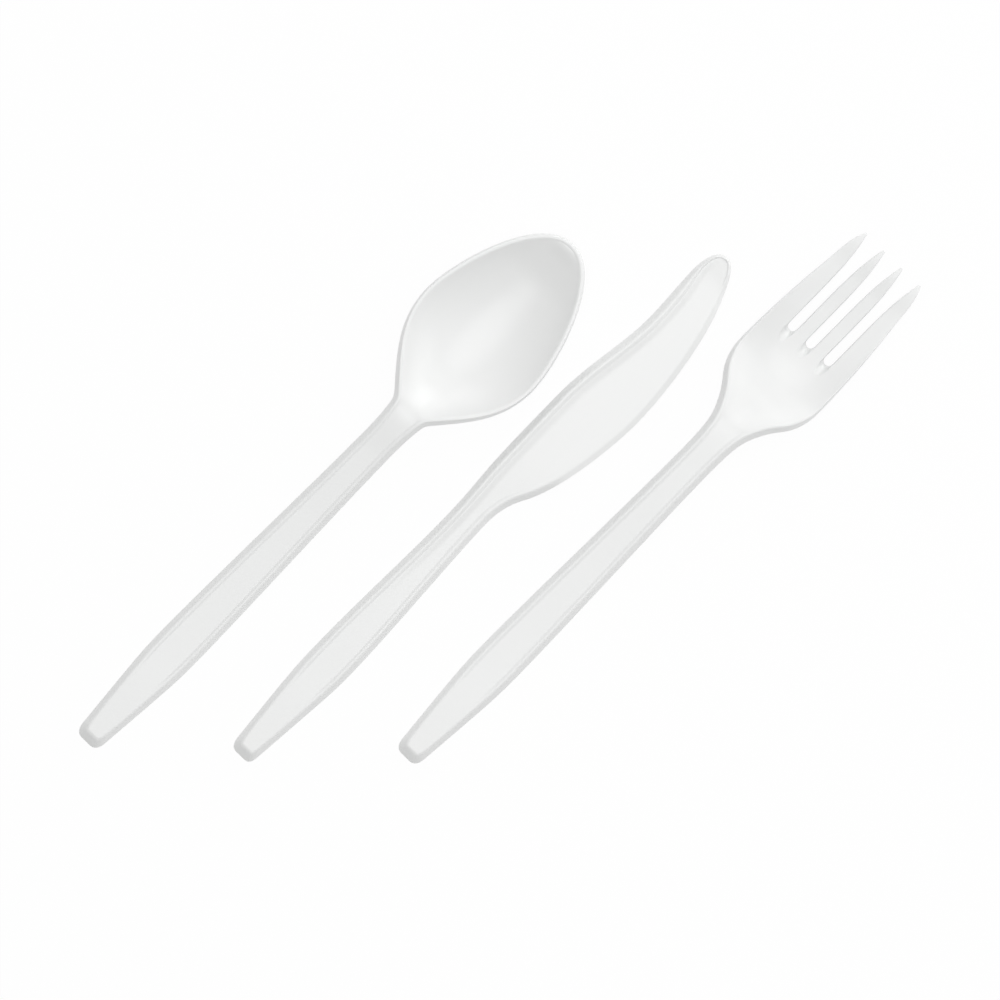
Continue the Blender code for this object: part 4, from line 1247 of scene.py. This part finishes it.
@dataclass(frozen=True)
class MouldedPlastic:
    """White polystyrene as it leaves a polished mould: soft gloss, faint flow lines and slow waves."""

    pale: tuple[float, float, float] = (0.885, 0.890, 0.885)
    deep: tuple[float, float, float] = (0.865, 0.872, 0.866)
    roughness: float = 0.32
    roughness_swing: float = 0.03
    refraction: float = 1.52
    cloud_scale: float = 44.0
    cloud_share: float = 0.7
    flow_share: float = 0.3
    wave_scale: float = 110.0
    wave_height: float = 0.010 * MM
    grain_scale: float = 2600.0
    grain_height: float = 0.0006 * MM
    flow_stretch: tuple[float, float, float] = (420.0, 16.0, 420.0)

    def material(self) -> bpy.types.Material:
        """Build the material on the pieces' Object coordinates."""
        shader = Shader(bpy.data.materials.new("moulded_white_plastic"))
        coords = shader.node("ShaderNodeTexCoord", {}, {})["Object"]
        stretched = shader.node(
            "ShaderNodeMapping", {}, {"Vector": coords, "Scale": self.flow_stretch})["Vector"]
        flow = shader.noise(stretched, 1.0, 3.0)
        cloud = shader.noise(coords, self.cloud_scale, 2.0)
        wave = shader.noise(coords, self.wave_scale, 1.0)
        grain = shader.noise(coords, self.grain_scale, 2.0)
        # A colour mix has its factor at 0, its colours at 6 and 7, and its result at 2.
        tint = shader.node("ShaderNodeMix", {"data_type": "RGBA"}, {
            0: cloud * self.cloud_share + flow * self.flow_share,
            6: (*self.deep, 1.0), 7: (*self.pale, 1.0)})
        height = wave * self.wave_height + grain * self.grain_height
        bump = shader.node("ShaderNodeBump", {}, {"Height": height, "Strength": 1.0, "Distance": 1.0})
        shader.dress({
            "Base Color": Value(shader, tint.made.outputs[2]), "Normal": bump["Normal"],
            "Roughness": self.roughness + (flow - 0.5) * self.roughness_swing, "IOR": self.refraction})
        return shader.owner


@dataclass(frozen=True)
class Lamp:
    """One soft lamp: where it hangs from the middle of the set, its size and its power."""

    name: str
    azimuth: float
    elevation: float
    distance: float
    size: float
    power: float


@dataclass(frozen=True)
class Studio:
    """The pale floor, the soft lamps and the camera over the table."""

    floor_half: float = 3.0
    floor_tone: float = 0.96
    floor_roughness: float = 0.9
    floor_glow: float = 0.96
    floor_gap: float = 0.05 * MM
    world_tone: float = 0.45
    photo_pixels: float = 1000.0
    pixel: float = 0.2367 * MM
    centre_from_end: Pair = (30.0 * MM, 109.5 * MM)
    camera_turn: float = math.radians(44.45)
    camera_height: float = 0.9
    camera_clip: float = 0.01
    lamps: tuple[Lamp, ...] = (
        Lamp("key_lamp", 0.0, 22.0, 0.9, 0.6, 1.9),
        Lamp("left_lamp", -45.0, 24.0, 0.9, 0.6, 0.8),
        Lamp("right_lamp", 45.0, 24.0, 0.9, 0.6, 0.8),
        Lamp("top_lamp", 0.0, 88.0, 0.9, 0.7, 2.7),
    )

    def build(self, home: Pair) -> None:
        """Set up the floor, the world, the lamps and the camera.

        Args:
            home: The spoon's handle end, from which the photograph's middle is measured.
        """
        self.floor()
        self.world()
        for lamp in self.lamps:
            self.hang(lamp)
        self.camera(home)

    def floor(self) -> None:
        """Lay the pale floor, which keeps a soft shadow and shows white round it."""
        deselect()
        bpy.ops.mesh.primitive_plane_add(size=2 * self.floor_half, location=(0.0, 0.0, -self.floor_gap))
        plane = added("floor")
        shader = Shader(bpy.data.materials.new("pale_floor"))
        shader.dress({"Base Color": (*[self.floor_tone] * 3, 1.0), "Roughness": self.floor_roughness,
                      "Specular IOR Level": 0.0})
        shader.show_white("ShaderNodeEmission", self.floor_glow)
        plane.data.materials.append(shader.owner)

    def world(self) -> None:
        """Light the set evenly from all round, and show white past the floor."""
        shader = Shader(bpy.data.worlds.new("studio"))
        shader.dress({"Color": WHITE, "Strength": self.world_tone})
        shader.show_white("ShaderNodeBackground", 1.0)
        bpy.context.scene.world = shader.owner

    def hang(self, lamp: Lamp) -> None:
        """Hang one area lamp, facing the middle of the set."""
        azimuth, elevation = math.radians(lamp.azimuth), math.radians(lamp.elevation)
        way = Vector((math.sin(azimuth) * math.cos(elevation), math.cos(azimuth) * math.cos(elevation),
                      math.sin(elevation)))
        deselect()
        bpy.ops.object.light_add(type="AREA", location=way * lamp.distance)
        item = added(lamp.name)
        item.rotation_euler = way.to_track_quat("Z", "Y").to_euler()
        item.data.shape = "DISK"
        item.data.size = lamp.size
        item.data.energy = lamp.power

    def camera(self, home: Pair) -> None:
        """Look straight down, turned so that the handles point to the lower left."""
        deselect()
        centre = (home[0] + self.centre_from_end[0], home[1] + self.centre_from_end[1])
        bpy.ops.object.camera_add(location=(*centre, self.camera_height),
                                  rotation=(0.0, 0.0, self.camera_turn))
        item = added("camera")
        item.data.type = "ORTHO"
        item.data.ortho_scale = self.photo_pixels * self.pixel
        item.data.clip_start = self.camera_clip
        bpy.context.scene.camera = item


@dataclass(frozen=True)
class Setting:
    """Where the three pieces lie on the table, measured from the spoon's handle end."""

    knife_across: float = 28.5 * MM
    knife_along: float = 23.2 * MM
    knife_turn: float = math.radians(0.53)
    fork_across: float = 56.6 * MM
    fork_along: float = 50.3 * MM

    def home(self) -> Pair:
        """Give the spoon's handle end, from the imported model."""
        low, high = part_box(Spoon.node)
        return (low.x + high.x) / 2, low.y

    def pieces(self) -> list[Moulding]:
        """Give the three pieces in their places."""
        x, y = self.home()
        return [
            Spoon(place=(x, y)),
            Knife(place=(x + self.knife_across, y + self.knife_along), turn=self.knife_turn),
            Fork(place=(x + self.fork_across, y + self.fork_along)),
        ]


def main() -> None:
    """Model and dress the set, then light it."""
    logging.basicConfig(level=logging.INFO, format="%(name)s: %(message)s")
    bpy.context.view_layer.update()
    setting = Setting()
    plastic = MouldedPlastic().material()
    for piece in setting.pieces():
        item = piece.model()
        item.data.materials.append(plastic)
    Studio().build(setting.home())
    bpy.context.scene.view_settings.view_transform = "Standard"


if __name__ == "__main__":
    main()
